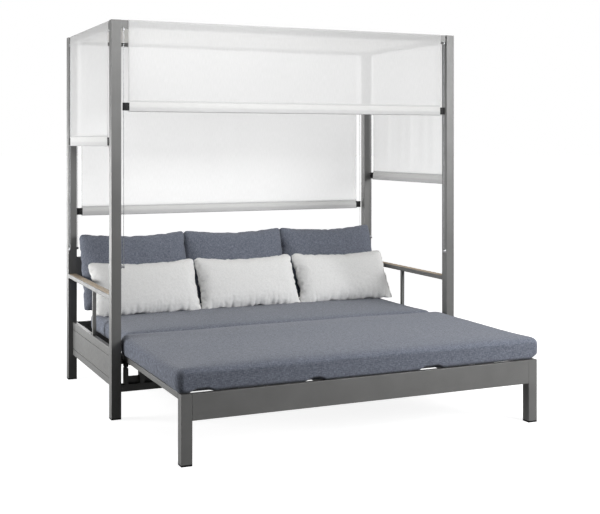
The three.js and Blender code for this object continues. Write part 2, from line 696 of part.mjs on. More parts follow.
function benchApron() {
  const half = benchSide - BENCH_LEG - FIT;
  const y = [BENCH_FRONT, BENCH_FRONT + BENCH_APRON_THICK];
  return crossPlank(half, y, [BENCH_APRON_FOOT, DECK_TOP]);
}

function benchLeg(sign) {
  const x = [sign * benchSide, sign * (benchSide - BENCH_LEG)];
  const y = [BENCH_FRONT, BENCH_FRONT + BENCH_LEG];
  const shell = bar("z", x, y, [FOOT_PLATE + FIT, DECK_TOP], POST_EDGE);
  const wall = sign * POST_WALL;
  const inner = block([x[0] - wall, x[1] + wall], [y[0] + POST_WALL, y[1] - POST_WALL], [0, DECK_TOP - POST_WALL]);
  return weld([shell], [inner]);
}

add("bench_deck", benchDeck(), coated());
add("bench_apron", benchApron(), coated());
for (const [name, sign] of [["l", -1], ["r", 1]]) {
  add(`bench_leg_${name}`, benchLeg(sign), coated());
  const x0 = sign < 0 ? -benchSide : benchSide - BENCH_LEG;
  add(`bench_foot_${name}`, footBody(x0, BENCH_FRONT, BENCH_LEG), plastic());
}

// Stuffed box: a rounded block with a crown on both broad faces and sides drawn in between corners.
function cushion({ size, edge, crown, drawn, cells, corner = edge }) {
  const half = size.map((length) => length / 2);
  const geometry = new THREE.BoxGeometry(1, 1, 1, ...cells);
  const place = geometry.getAttribute("position");
  for (let i = 0; i < place.count; i += 1) {
    const raw = [place.getX(i) * 2, place.getY(i) * 2, place.getZ(i) * 2];
    const spread = raw.map((share, axis) => spreadOut(share, axis, half, edge) * half[axis]);
    const core = spread.map((value, axis) => clampTo(value, half[axis] - edge));
    const out = new THREE.Vector3(...spread.map((value, axis) => value - core[axis]));
    if (out.length() > 0) out.setLength(edge);
    const point = core.map((value, axis) => value + out.getComponent(axis));
    place.setXYZ(i, ...stuff(turnCorner(point, half, corner), half, crown, drawn));
  }
  return smooth(geometry);
}

// Moves grid lines toward the rounded edges.
function spreadOut(share, axis, half, edge) {
  const flat = 1 - edge / half[axis];
  const bend = 0.62;
  const size = Math.abs(share);
  const moved = size < bend ? (size / bend) * flat : flat + ((size - bend) / (1 - bend)) * (1 - flat);
  return Math.sign(share) * moved;
}

// Brings the upright corners in to a larger radius, seen from above.
function turnCorner([x, y, z], half, radius) {
  const dx = Math.max(0, Math.abs(x) - half[0] + radius);
  const dy = Math.max(0, Math.abs(y) - half[1] + radius);
  const reach = Math.hypot(dx, dy);
  const share = reach > 0 ? Math.max(dx, dy) / reach : 1;
  const inX = dx * (1 - share) * Math.sign(x);
  const inY = dy * (1 - share) * Math.sign(y);
  return [x - inX, y - inY, z];
}

function clampTo(value, limit) {
  return Math.max(-limit, Math.min(limit, value));
}

function stuff(point, half, crown, drawn) {
  const [u, v, w] = point.map((value, axis) => clampTo(value / half[axis], 1));
  const rise = crown * (1 - u ** 4) * (1 - v ** 4) * Math.sign(w) * Math.min(1, 2 * Math.abs(w));
  const inX = drawn * Math.sign(u) * Math.abs(u) ** 3 * (1 - v * v);
  const inY = drawn * Math.sign(v) * Math.abs(v) ** 3 * (1 - u * u);
  return [point[0] - inX, point[1] - inY, point[2] + rise];
}

// Throw pillow: full in the middle, thin at the seam, with the seam drawn in between the corners.
function pillow({ size, edge, drawn, cells }) {
  const half = size.map((length) => length / 2);
  const geometry = new THREE.BoxGeometry(1, 1, 1, ...cells, 2);
  const place = geometry.getAttribute("position");
  for (let i = 0; i < place.count; i += 1) {
    const u = Math.sin((place.getX(i) * Math.PI) / 1);
    const v = Math.sin((place.getY(i) * Math.PI) / 1);
    const fill = ((1 - u ** 4) * (1 - v ** 4)) ** 0.55;
    const w = place.getZ(i) * 2;
    const x = u * (half[0] - drawn * (1 - v * v));
    const y = v * (half[1] - drawn * (1 - u * u));
    place.setXYZ(i, x, y, w * (edge / 2 + (half[2] - edge / 2) * fill));
  }
  return smooth(geometry);
}

function smooth(geometry) {
  const bare = new THREE.BufferGeometry();
  bare.setAttribute("position", geometry.getAttribute("position"));
  bare.setIndex(geometry.index);
  const merged = mergeVertices(bare, FIT / 10);
  merged.computeVertexNormals();
  return merged;
}

// Seat cushions: two broad ones that meet at the seam behind the front posts.
const seatLevel = DECK_TOP + FIT + SEAT_CROWN + SEAT_THICK / 2;
const frontDeep = SEAM - SEAM_PLAY / 2 - (BENCH_FRONT + SEAM_PLAY);
const rearDeep = backInner - REAR_SEAT_SHORT - (SEAM + SEAM_PLAY / 2);
const seatWide = BENCH_WIDTH + 2 * SEAT_OVERHANG;

function seatCushion(name, deep, y) {
  const geometry = cushion({
    size: [seatWide, deep, SEAT_THICK],
    edge: SEAT_EDGE,
    corner: SEAT_CORNER,
    crown: SEAT_CROWN,
    drawn: SEAT_DRAWN,
    cells: [16, 10, 6],
  });
  const mesh = add(name, geometry, upholstery());
  mesh.position.set(0, y, seatLevel);
}

seatCushion("seat_cushion_front", frontDeep, SEAM - SEAM_PLAY / 2 - frontDeep / 2);
seatCushion("seat_cushion_rear", rearDeep, SEAM + SEAM_PLAY / 2 + rearDeep / 2);

// Moves a cushion one way until it lies on its carrier.
function settle(solid, place, along, carrier) {
  for (let step = 0; step < SETTLE_STEPS; step += 1) {
    const gap = solid.translate(place.toArray()).minGap(carrier, SETTLE_REACH);
    place.addScaledVector(along, gap - FIT);
    if (Math.abs(gap - FIT) < SETTLE_CLOSE) break;
  }
}

function solidOf(name) {
  const mesh = part.getObjectByName(name);
  return toSolid(mesh.geometry).translate(mesh.position.toArray());
}

const DOWN = new THREE.Vector3(0, 0, -1);
const BACKWARD = new THREE.Vector3(0, 1, 0);

// Stands a cushion on the seat and leans it on what is behind it. Its weight presses its foot flat
// on the seat by the given depth.
function lean(name, geometry, angle, place, seat, behind, material, pressed = 0) {
  geometry.rotateX(Math.PI / 2 - angle);
  const solid = toSolid(geometry);
  settle(solid, place, BACKWARD, behind);
  for (let turn = 0; turn < SETTLE_TURNS; turn += 1) {
    settle(solid, place, DOWN, seat);
    settle(solid, place, BACKWARD, behind);
  }
  const down = place.clone().addScaledVector(DOWN, pressed);
  const bed = seat.translate([0, 0, FIT]).add(behind.translate([0, -FIT, 0]));
  const resting = solid.translate(down.toArray()).subtract(bed);
  add(name, pressed > 0 ? toGeometry(resting) : geometry.translate(...place.toArray()), material);
}

// Back cushions stand on the rear seat cushion and lean on the back rail.
const seatTop = seatLevel + SEAT_THICK / 2 + SEAT_CROWN;
const rearSeat = solidOf("seat_cushion_rear");
const backRail = solidOf("back_rail");

const COLUMNS = [-1, 0, 1];
const backWidth = (2 * (POST_INNER - BACK_SIDE_PLAY - SEAM_PLAY)) / COLUMNS.length;
const pillowWidth = (2 * (POST_INNER - PILLOW_SIDE_PLAY - SEAM_PLAY)) / COLUMNS.length;

for (const [i, column] of COLUMNS.entries()) {
  const geometry = cushion({
    size: [backWidth, BACK_TALL, BACK_THICK - 2 * BACK_CROWN],
    edge: BACK_EDGE,
    crown: BACK_CROWN,
    drawn: BACK_DRAWN,
    cells: [10, 8, 4],
  });
  const x = column * (backWidth + SEAM_PLAY);
  const place = new THREE.Vector3(x, railBack - 2 * BACK_THICK, seatTop + BACK_TALL / 2);
  lean(`back_cushion_${i + 1}`, geometry, BACK_LEAN, place, rearSeat, backRail, upholstery());
}

// Lumbar pillows stand side by side on the rear seat cushion and lean on the back cushions.
const backNames = COLUMNS.map((column, i) => `back_cushion_${i + 1}`);
const backRow = backNames.map(solidOf).reduce((all, one) => all.add(one));

for (const [i, column] of COLUMNS.entries()) {
  const geometry = pillow({
    size: [pillowWidth, PILLOW_TALL, PILLOW_THICK],
    edge: PILLOW_EDGE,
    drawn: PILLOW_DRAWN,
    cells: [14, 10],
  });
  const place = new THREE.Vector3(column * (pillowWidth + SEAM_PLAY), 0, seatTop + PILLOW_TALL / 2);
  const name = `pillow_${i + 1}`;
  lean(name, geometry, PILLOW_LEAN, place, rearSeat, backRow, paleCloth(), PILLOW_PRESSED);
}

export default part;
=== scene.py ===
import math

import bmesh
import bpy
import numpy as np
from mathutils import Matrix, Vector


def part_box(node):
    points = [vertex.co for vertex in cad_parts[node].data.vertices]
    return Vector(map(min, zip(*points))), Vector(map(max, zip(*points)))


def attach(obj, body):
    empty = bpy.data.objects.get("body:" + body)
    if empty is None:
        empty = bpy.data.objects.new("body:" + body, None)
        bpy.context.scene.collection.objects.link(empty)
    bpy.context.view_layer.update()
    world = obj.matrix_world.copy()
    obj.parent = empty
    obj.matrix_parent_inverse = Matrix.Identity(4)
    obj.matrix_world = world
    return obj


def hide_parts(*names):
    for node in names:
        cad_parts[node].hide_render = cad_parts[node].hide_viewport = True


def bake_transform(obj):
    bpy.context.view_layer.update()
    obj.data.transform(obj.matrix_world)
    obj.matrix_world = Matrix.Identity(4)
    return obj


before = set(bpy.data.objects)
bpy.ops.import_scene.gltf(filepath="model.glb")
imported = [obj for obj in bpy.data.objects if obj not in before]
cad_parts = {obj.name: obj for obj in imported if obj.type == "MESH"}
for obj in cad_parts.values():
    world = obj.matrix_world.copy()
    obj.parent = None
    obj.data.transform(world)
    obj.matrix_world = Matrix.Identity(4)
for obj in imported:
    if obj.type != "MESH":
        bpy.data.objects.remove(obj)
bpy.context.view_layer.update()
scene = bpy.context.scene


# Camera. It stands in front of the left corner, 1.45 m up, level, and looks across
# the pulled-out bench. Its shift puts the horizon in the upper third of the picture.
def add_to_scene(name, data):
    thing = bpy.data.objects.new(name, data)
    scene.collection.objects.link(thing)
    return thing


camera_data = bpy.data.cameras.new("camera")
camera_data.sensor_fit = "HORIZONTAL"
camera_data.sensor_width = 36
camera_data.lens = 64.28
camera_data.shift_y = -0.1897
camera_data.clip_end = 120
camera = add_to_scene("camera", camera_data)
camera.location = (-2.446, -5.609, 1.451)
camera.rotation_euler = (math.pi / 2, 0, math.radians(-24.18))
scene.camera = camera


# Corner posts. Square aluminium tubes with a charcoal powder coat, closed at the top by a welded cap.
# The coat is a satin paint baked on, with a fine pebbled skin and a slightly uneven gloss.
def linear(red, green, blue):
    """Colour of a finish as it is seen in daylight, 0 to 255 each."""
    parts = [c / 255 for c in (red, green, blue)]
    return (*[c / 12.92 if c < 0.04045 else ((c + 0.055) / 1.055) ** 2.4 for c in parts], 1)


def new_finish(name):
    finish = bpy.data.materials.new(name)
    finish.use_nodes = True
    tree = finish.node_tree
    return finish, tree, tree.nodes["Principled BSDF"]


def put(tree, socket, value):
    """Links what another node gives to a socket, or sets the socket to a plain value."""
    if isinstance(value, bpy.types.NodeSocket):
        tree.links.new(value, socket)
    else:
        socket.default_value = value


def give(tree, node, **sockets):
    """Fills the inputs of a node, named with _ for a space."""
    for key, value in sockets.items():
        put(tree, node.inputs[key.replace("_", " ")], value)


def add_node(tree, kind, settings=None, **sockets):
    node = tree.nodes.new(kind)
    for key, value in (settings or {}).items():
        setattr(node, key, value)
    give(tree, node, **sockets)
    return node


def place_in(tree):
    """The place on the piece itself, in metres."""
    return add_node(tree, "ShaderNodeTexCoord").outputs["Object"]


def grain_of(tree, place, scale, stretch=(1, 1, 1), detail=2.0, roughness=0.5):
    """Noise at so many cells per metre, stretched along the axes with a small number."""
    mapped = add_node(tree, "ShaderNodeMapping", Vector=place, Scale=stretch)
    return add_node(
        tree,
        "ShaderNodeTexNoise",
        Vector=mapped.outputs["Vector"],
        Scale=scale,
        Detail=detail,
        Roughness=roughness,
    ).outputs["Fac"]


def ramp_of(tree, value, stops):
    """Colours at their places along a value from 0 to 1."""
    ramp = add_node(tree, "ShaderNodeValToRGB", Fac=value)
    elements = ramp.color_ramp.elements
    while len(elements) < len(stops):
        elements.new(0.5)
    for element, (place, colour) in zip(elements, stops):
        element.position = place
        element.color = linear(*colour)
    return ramp.outputs["Color"]


def spread_of(tree, value, low, high, from_low=0.3, from_high=0.7):
    """A value that runs from low to high while the given one runs from from_low to from_high."""
    sockets = {"Value": value, "From_Min": from_low, "From_Max": from_high, "To_Min": low, "To_Max": high}
    return add_node(tree, "ShaderNodeMapRange", **sockets).outputs["Result"]


def raise_skin(tree, shader, height, strength, distance):
    bump = add_node(tree, "ShaderNodeBump", Height=height, Strength=strength, Distance=distance)
    tree.links.new(bump.outputs["Normal"], shader.inputs["Normal"])
    return bump


charcoal_coat, tree, coat = new_finish("charcoal_coat")
place = place_in(tree)
cloudy = grain_of(tree, place, 7, detail=4)
uneven = grain_of(tree, place, 45, detail=3)
give(
    tree,
    coat,
    Base_Color=ramp_of(tree, cloudy, [(0.3, (103, 103, 102)), (0.7, (111, 111, 110))]),
    Roughness=spread_of(tree, uneven, 0.34, 0.44),
    Specular_IOR_Level=0.5,
)
raise_skin(tree, coat, grain_of(tree, place, 900, detail=1), 0.18, 0.0004)

CORNERS = ("fl", "fr", "bl", "br")
SIDE_NAMES = ("front", "back", "left", "right")


def coat_node(name, finish):
    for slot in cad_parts[name].material_slots:
        slot.material = finish


for corner in CORNERS:
    coat_node(f"post_{corner}", charcoal_coat)

# Foot plugs. Black nylon caps pressed into the open lower ends of the posts and the bench legs, with
# the dull fine grain of a moulded part.
black_nylon, tree, nylon = new_finish("black_nylon")
place = place_in(tree)
speckle = grain_of(tree, place, 260, detail=4)
give(
    tree,
    nylon,
    Base_Color=ramp_of(tree, speckle, [(0.3, (15, 15, 16)), (0.75, (28, 28, 30))]),
    Roughness=spread_of(tree, speckle, 0.5, 0.7),
    Specular_IOR_Level=0.25,
)
raise_skin(tree, nylon, grain_of(tree, place, 1400, detail=1), 0.25, 0.0003)
for corner in CORNERS:
    coat_node(f"post_foot_{corner}", black_nylon)

# Top beams. Four hollow bars pushed over the posts' spigots, coated like the posts, each with a slot
# along its outer top edge where the blind's cloth comes out.
for side_name in SIDE_NAMES:
    coat_node(f"beam_{side_name}", charcoal_coat)

# Spring rollers. Galvanised tubes inside the beams, that wind up the blinds; the zinc is grey and dull
# with small cloudy spangles.
zinc_tube, tree, zinc = new_finish("zinc_tube")
spangle = grain_of(tree, place_in(tree), 60, detail=5)
give(
    tree,
    zinc,
    Base_Color=ramp_of(tree, spangle, [(0.35, (150, 152, 154)), (0.7, (186, 188, 190))]),
    Roughness=spread_of(tree, spangle, 0.3, 0.5),
    Metallic=0.9,
)
for side_name in SIDE_NAMES:
    coat_node(f"roller_{side_name}", zinc_tube)

# Blinds. A thin off-white woven cloth on each side comes out of the beam's slot, turns over the beam's
# outer top edge and hangs to its hem. Light passes through it, and its side edges are turned in and sewn.
# Depths are measured inwards from the posts' outer plane, and drops down from the posts' top.
CLOTH_THICK = 0.001
CLOTH_DEPTH = 0.004
WEAVE = 260
SLOT_PATH = [(0.0125, 0.011), (0.012, 0.004)]
EDGE_TURN = 0.022
EDGE_RADIUS = 0.004
EDGE_DROP = 0.0023
OVER_REACH = 0.0028
HANG_DROP = 0.0025
FALL_DROP = 0.012
FALL_ROWS = 46
HEM_LAP = 0.004
FOLDS_DROP = 0.02
FOLDS_EASE = 0.12
HEM_EASE = 0.05


def worked_out(tree, operation, *values):
    node = add_node(tree, "ShaderNodeMath", {"operation": operation})
    for socket, value in zip(node.inputs, values):
        put(tree, socket, value)
    return node.outputs["Value"]


def mixed(tree, share, first, second):
    """Two shaders mixed, with the given share of the second."""
    mix = add_node(tree, "ShaderNodeMixShader", Fac=share)
    put(tree, mix.inputs[1], first)
    put(tree, mix.inputs[2], second)
    return mix.outputs["Shader"]


def woven_cloth(name, dark, light, glowing):
    """A plain weave with uneven threads, and its shader with a share of light that glows through."""
    finish, tree, canvas = new_finish(name)
    place = add_node(tree, "ShaderNodeUVMap").outputs["UV"]
    threads = []
    for way in ("X", "Y"):
        settings = {"bands_direction": way}
        bands = add_node(tree, "ShaderNodeTexWave", settings, Vector=place, Scale=WEAVE, Distortion=0.4)
        threads.append(bands.outputs["Fac"])
    slub = grain_of(tree, place, 240, stretch=(1, 0.12, 1))
    tone = ramp_of(tree, slub, [(0.3, dark), (0.7, light)])
    give(tree, canvas, Base_Color=tone, Roughness=0.85, Specular_IOR_Level=0.2)
    skin = raise_skin(tree, canvas, worked_out(tree, "MULTIPLY", *threads), 0.2, 0.0002)
    glow = add_node(tree, "ShaderNodeBsdfTranslucent", Color=tone, Normal=skin.outputs["Normal"])
    return finish, tree, mixed(tree, glowing, canvas.outputs["BSDF"], glow.outputs["BSDF"])


canopy_cloth, tree, lit = woven_cloth("canopy_cloth", (226, 226, 226), (232, 232, 232), 0.45)
clear = add_node(tree, "ShaderNodeBsdfTransparent")
thin = mixed(tree, 0.44, lit, clear.outputs["BSDF"])
give(tree, tree.nodes["Material Output"], Surface=thin)

plug_low, plug_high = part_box("post_foot_fl")
POST_SIZE = plug_high.x - plug_low.x
FRONT = plug_low.y
HALF = -plug_low.x
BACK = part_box("post_bl")[1].y
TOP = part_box("post_fl")[1].z
BLIND_GAP = 0.038
HEM_RISE = 0.058


def side_of(run, outer, inward, fold, seed):
    """A side by the axis that it runs along, its outer plane, the way inwards and its cloth's folds."""
    start, end = (-HALF, HALF) if run == "x" else (FRONT, BACK)
    span = dict(start=start + POST_SIZE, end=end - POST_SIZE)
    return dict(run=run, outer=outer, inward=inward, fold=fold, seed=seed, **span)


SIDES = {
    "front": side_of("x", FRONT, 1, fold=0.0011, seed=3),
    "back": side_of("x", BACK, -1, fold=0.0012, seed=8),
    "left": side_of("y", -HALF, 1, fold=0.0012, seed=5),
    "right": side_of("y", HALF, -1, fold=0.0065, seed=11),
}


def spot(side, along, depth, height):
    """A point by its place along a side, its depth inwards from the posts' outer plane, and its height."""
    across = side["outer"] + side["inward"] * depth
    return (along, across, height) if side["run"] == "x" else (across, along, height)


def lay_flat(mesh, flat):
    """Gives each corner of a mesh its point's place on the cloth as it is cut, in metres."""
    index = np.empty(len(mesh.loops), int)
    mesh.loops.foreach_get("vertex_index", index)
    mesh.uv_layers.new(name="cut").data.foreach_set("uv", flat[index].ravel())


def closed_sheet(name, points, thick, uv, finish):
    """Cloth of one thickness or more, closed all round, from a grid of points on its middle."""
    rows, columns = points.shape[:2]
    down = np.gradient(points, axis=0)
    over = np.gradient(points, axis=1)
    normal = np.cross(down, over)
    normal /= np.linalg.norm(normal, axis=2, keepdims=True)
    half = np.asarray(thick)[..., None] / 2 * np.ones((rows, columns, 1))
    layers = [points + normal * half, points - normal * half]
    corners = np.concatenate([layer.reshape(-1, 3) for layer in layers])
    count = rows * columns
    grid = np.arange(count).reshape(rows, columns)
    a, b, c, d = grid[:-1, :-1], grid[1:, :-1], grid[1:, 1:], grid[:-1, 1:]
    face = np.stack([a, b, c, d], -1).reshape(-1, 4)
    back = face[:, ::-1] + count
    rim = np.concatenate([grid[:, 0], grid[-1, 1:], grid[-2::-1, -1], grid[0, -2:0:-1]])
    follow = np.roll(rim, -1)
    sides = np.stack([follow, rim, rim + count, follow + count], -1)
    faces = np.concatenate([face, back, sides])
    mesh = bpy.data.meshes.new(name)
    mesh.from_pydata(corners.tolist(), [], faces.tolist())
    lay_flat(mesh, np.concatenate([uv.reshape(-1, 2)] * 2))
    mesh.materials.append(finish)
    mesh.shade_smooth()
    return add_to_scene(name, mesh)


def point_outwards(mesh):
    """Turns every face outwards."""
    shell = bmesh.new()
    shell.from_mesh(mesh)
    bmesh.ops.recalc_face_normals(shell, faces=shell.faces)
    shell.to_mesh(mesh)
    shell.free()


def turned_in(width, columns):
    """Places across a cloth, closer at its turned-in edges, and whether each is on one."""
    inner = np.linspace(EDGE_TURN + 0.001, width - EDGE_TURN - 0.001, columns - 6)
    left = np.array([0, EDGE_TURN / 2, EDGE_TURN])
    places = np.concatenate([left, inner, width - left[::-1]])
    return places, (places <= EDGE_TURN + 1e-6) | (places >= width - EDGE_TURN - 1e-6)


def folds(places, width, seed):
    """Soft upright folds of a hanging cloth, from -1 to 1, still at its two edges."""
    random = np.random.default_rng(seed)
    wave = np.zeros(len(places))
    for pitch in (0.41, 0.27, 0.17, 0.11):
        pitch *= random.uniform(0.85, 1.15)
        wave += pitch**0.5 * np.sin(2 * math.pi * places / pitch + random.uniform(0, 6.28))
    return wave / np.abs(wave).max() * np.sin(math.pi * places / width) ** 0.8


def blind_cloth(side_name):
    """The cloth of a blind, with its flat size and the height of its hem's top."""
    side = SIDES[side_name]
    hem_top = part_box(f"bar_{side_name}")[0].z + HEM_RISE
    width = side["end"] - side["start"] - 2 * BLIND_GAP
    places, sewn = turned_in(width, 80 if width > 1 else 56)
    over = [(depth, TOP - drop) for depth, drop in SLOT_PATH]
    for angle in range(0, 91, 18):
        a = math.radians(angle)
        depth = CLOTH_DEPTH + EDGE_RADIUS + OVER_REACH * math.cos(a)
        over.append((depth, TOP - EDGE_DROP + EDGE_RADIUS * math.sin(a)))
    over.append((CLOTH_DEPTH, TOP - HANG_DROP))
    fall = np.linspace(TOP - FALL_DROP, hem_top - HEM_LAP, FALL_ROWS)
    path = np.array(over + [(CLOTH_DEPTH, z) for z in fall])
    wave = folds(places, width, side["seed"])
    below_edge = np.clip((TOP - FOLDS_DROP - path[:, 1]) / FOLDS_EASE, 0, 1)
    above_hem = np.clip((path[:, 1] - hem_top + HEM_LAP) / HEM_EASE, 0, 1)
    share = (below_edge * above_hem)[:, None]
    drift = np.sin(np.linspace(0, 2.2, len(path)))
    depth = path[:, 0, None] + side["fold"] * share * (wave[None, :] - 0.25 + 0.3 * drift[:, None])
    points = np.empty((len(path), len(places), 3))
    for i in range(len(path)):
        for j in range(len(places)):
            points[i, j] = spot(side, side["start"] + BLIND_GAP + places[j], depth[i, j], path[i, 1])
    run = np.concatenate([[0], np.cumsum(np.linalg.norm(np.diff(path, axis=0), axis=1))])
    uv = np.stack(np.meshgrid(places, run), -1)
    thick = np.where(sewn, CLOTH_THICK * 1.5, CLOTH_THICK)[None, :] * np.ones((len(path), 1))
    piece = closed_sheet(f"blind_cloth_{side_name}", points, thick, uv, canopy_cloth)
    point_outwards(piece.data)
    return piece, (width, float(run[-1])), hem_top


for side_name in SIDES:
    piece, flat, hem_top = blind_cloth(side_name)
    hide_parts(f"blind_{side_name}")
    side = SIDES[side_name]
    middle = (side["start"] + side["end"]) / 2
    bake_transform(piece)

# Hems. The cloth's lower end is turned back round a flat bar and sewn, so each blind ends in a firm
# band. A row of stitches runs along the top of the band on both faces.
hem_cloth, tree, canvas = new_finish("hem_cloth")
cut = add_node(tree, "ShaderNodeUVMap").outputs["UV"]
up_the_band = add_node(tree, "ShaderNodeSeparateXYZ", Vector=cut).outputs["Y"]
slub = grain_of(tree, cut, 240, stretch=(0.12, 1, 1))
# The hem's colour changes up its height, with light and shade painted in. The lower part round the bar is
# darker as painted shade, the band above is lighter as a painted highlight, and a darker strip along the
# top edge above the stitches is painted shade.
painted_hem_shading = [
    (0.0, (194, 194, 194)),
    (0.34, (198, 198, 198)),
    (0.5, (209, 209, 208)),
    (0.86, (211, 211, 210)),
    (0.91, (190, 190, 190)),
]

# The places of the colour sockets on a mix node, which have the same names as others.
COLOUR_A = 6
COLOUR_B = 7
COLOUR_MIXED = 2
shaded = add_node(tree, "ShaderNodeMix", {"data_type": "RGBA", "blend_type": "MULTIPLY"}, Factor=1.0)
put(tree, shaded.inputs[COLOUR_A], ramp_of(tree, worked_out(tree, "DIVIDE", up_the_band, HEM_RISE), painted_hem_shading))
put(tree, shaded.inputs[COLOUR_B], spread_of(tree, slub, 0.95, 1.0))
give(tree, canvas, Base_Color=shaded.outputs[COLOUR_MIXED], Roughness=0.85, Specular_IOR_Level=0.2)
raise_skin(tree, canvas, grain_of(tree, cut, 60, stretch=(0.22, 1, 1)), 0.5, 0.004)

sewing_thread, tree, thread = new_finish("sewing_thread")
twist = grain_of(tree, place_in(tree), 700)
dyed = ramp_of(tree, twist, [(0.3, (205, 205, 203)), (0.7, (232, 232, 230))])
give(tree, thread, Base_Color=dyed, Roughness=0.7)

HEM_PLANE = 0.007
HEM_HALF = 0.005

# Points of the band's outline: depths behind the posts' outer plane and heights above the bar's foot.
HEM_FACE = [(0.0029, 0.0576), (0.0026, 0.056), (0.0025, 0.05), (0.0023, 0.044)]
HEM_FACE += [(0.002, height) for height in (0.036, 0.022, 0.012)]
HEM_REAR = [(0.012, 0.012), (0.012, 0.022), (0.0118, 0.033), (0.0096, 0.04)]
HEM_REAR += [(0.0066, 0.046), (0.0056, 0.05), (0.0054, 0.056), (0.0052, 0.0576)]

HEM_PULL = 0.0006
HEM_LIFT = 0.0007
STITCH_PITCH = 0.009
STITCH_LONG = 0.0062
STITCH_THICK = 0.0009
STITCH_HEIGHT = 0.0515
STITCH_INSET = 0.006
STITCH_DEPTHS = (0.0022, 0.0058)


def row_tree():
    """Geometry nodes that lay one long grain after another along a straight row."""
    nodes = bpy.data.node_groups.new("stitch_row", "GeometryNodeTree")
    face = nodes.interface
    face.new_socket("Cloth", in_out="INPUT", socket_type="NodeSocketGeometry")
    for name in ("Row start", "Row end", "Grain size"):
        face.new_socket(name, in_out="INPUT", socket_type="NodeSocketVector")
    face.new_socket("Pitch", in_out="INPUT", socket_type="NodeSocketFloat")
    face.new_socket("Thread", in_out="INPUT", socket_type="NodeSocketMaterial")
    face.new_socket("Stitches", in_out="OUTPUT", socket_type="NodeSocketGeometry")
    given = nodes.nodes.new("NodeGroupInput").outputs
    line = add_node(nodes, "GeometryNodeCurvePrimitiveLine", Start=given["Row start"], End=given["Row end"])
    spaced = add_node(
        nodes,
        "GeometryNodeResampleCurve",
        {"mode": "LENGTH"},
        Curve=line.outputs["Curve"],
        Length=given["Pitch"],
    )
    ball = add_node(nodes, "GeometryNodeMeshUVSphere", Segments=6, Rings=4, Radius=0.5).outputs["Mesh"]
    grain = add_node(nodes, "GeometryNodeTransform", Geometry=ball, Scale=given["Grain size"])
    tangent = nodes.nodes.new("GeometryNodeInputTangent").outputs["Tangent"]
    turn = add_node(nodes, "FunctionNodeAlignRotationToVector", {"axis": "X"}, Vector=tangent)
    laid = add_node(
        nodes,
        "GeometryNodeInstanceOnPoints",
        Points=spaced.outputs["Curve"],
        Instance=grain.outputs["Geometry"],
        Rotation=turn.outputs["Rotation"],
    )
    real = add_node(nodes, "GeometryNodeRealizeInstances", Geometry=laid.outputs["Instances"])
    whole = real.outputs["Geometry"]
    dyed = add_node(nodes, "GeometryNodeSetMaterial", Geometry=whole, Material=given["Thread"])
    nodes.links.new(dyed.outputs["Geometry"], nodes.nodes.new("NodeGroupOutput").inputs["Stitches"])
    return nodes


def mesh_shown(piece):
    """The mesh that a piece's modifiers make."""
    view = bpy.context.evaluated_depsgraph_get()
    return bpy.data.meshes.new_from_object(piece.evaluated_get(view))


def made_by(tree, **values):
    """The plain mesh that a tree makes from its named inputs."""
    mesh = bpy.data.meshes.new("row")
    holder = add_to_scene("row", mesh)
    modifier = holder.modifiers.new("row", "NODES")
    modifier.node_group = tree
    for item in tree.interface.items_tree:
        if item.in_out == "INPUT" and item.name.replace(" ", "_") in values:
            modifier[item.identifier] = values[item.name.replace(" ", "_")]
    result = mesh_shown(holder)
    bpy.data.objects.remove(holder)
    bpy.data.meshes.remove(mesh)
    return result


def joined(name, shapes):
    """One piece from pairs of a mesh and its finish."""
    whole = bmesh.new()
    used = []
    for mesh, finish in shapes:
        if finish not in used:
            used.append(finish)
        before = len(whole.faces)
        whole.from_mesh(mesh)
        whole.faces.ensure_lookup_table()
        for face in whole.faces[before:]:
            face.material_index = used.index(finish)
    mesh = bpy.data.meshes.new(name)
    whole.to_mesh(mesh)
    whole.free()
    for finish in used:
        mesh.materials.append(finish)
    return add_to_scene(name, mesh)


def ringed(name, rings):
    """A closed solid over rings of as many points each, with both its ends filled."""
    solid = bmesh.new()
    loops = [[solid.verts.new(point) for point in ring] for ring in rings]
    count = len(rings[0])
    for a, b in zip(loops, loops[1:]):
        for k in range(count):
            solid.faces.new((a[k], a[(k + 1) % count], b[(k + 1) % count], b[k]))
    solid.faces.new(loops[0])
    solid.faces.new(loops[-1])
    bmesh.ops.recalc_face_normals(solid, faces=solid.faces)
    mesh = bpy.data.meshes.new(name)
    solid.to_mesh(mesh)
    solid.free()
    return mesh


def points_of(mesh):
    flat = np.empty(len(mesh.vertices) * 3)
    mesh.vertices.foreach_get("co", flat)
    return flat.reshape(-1, 3)


stitch_row = row_tree()


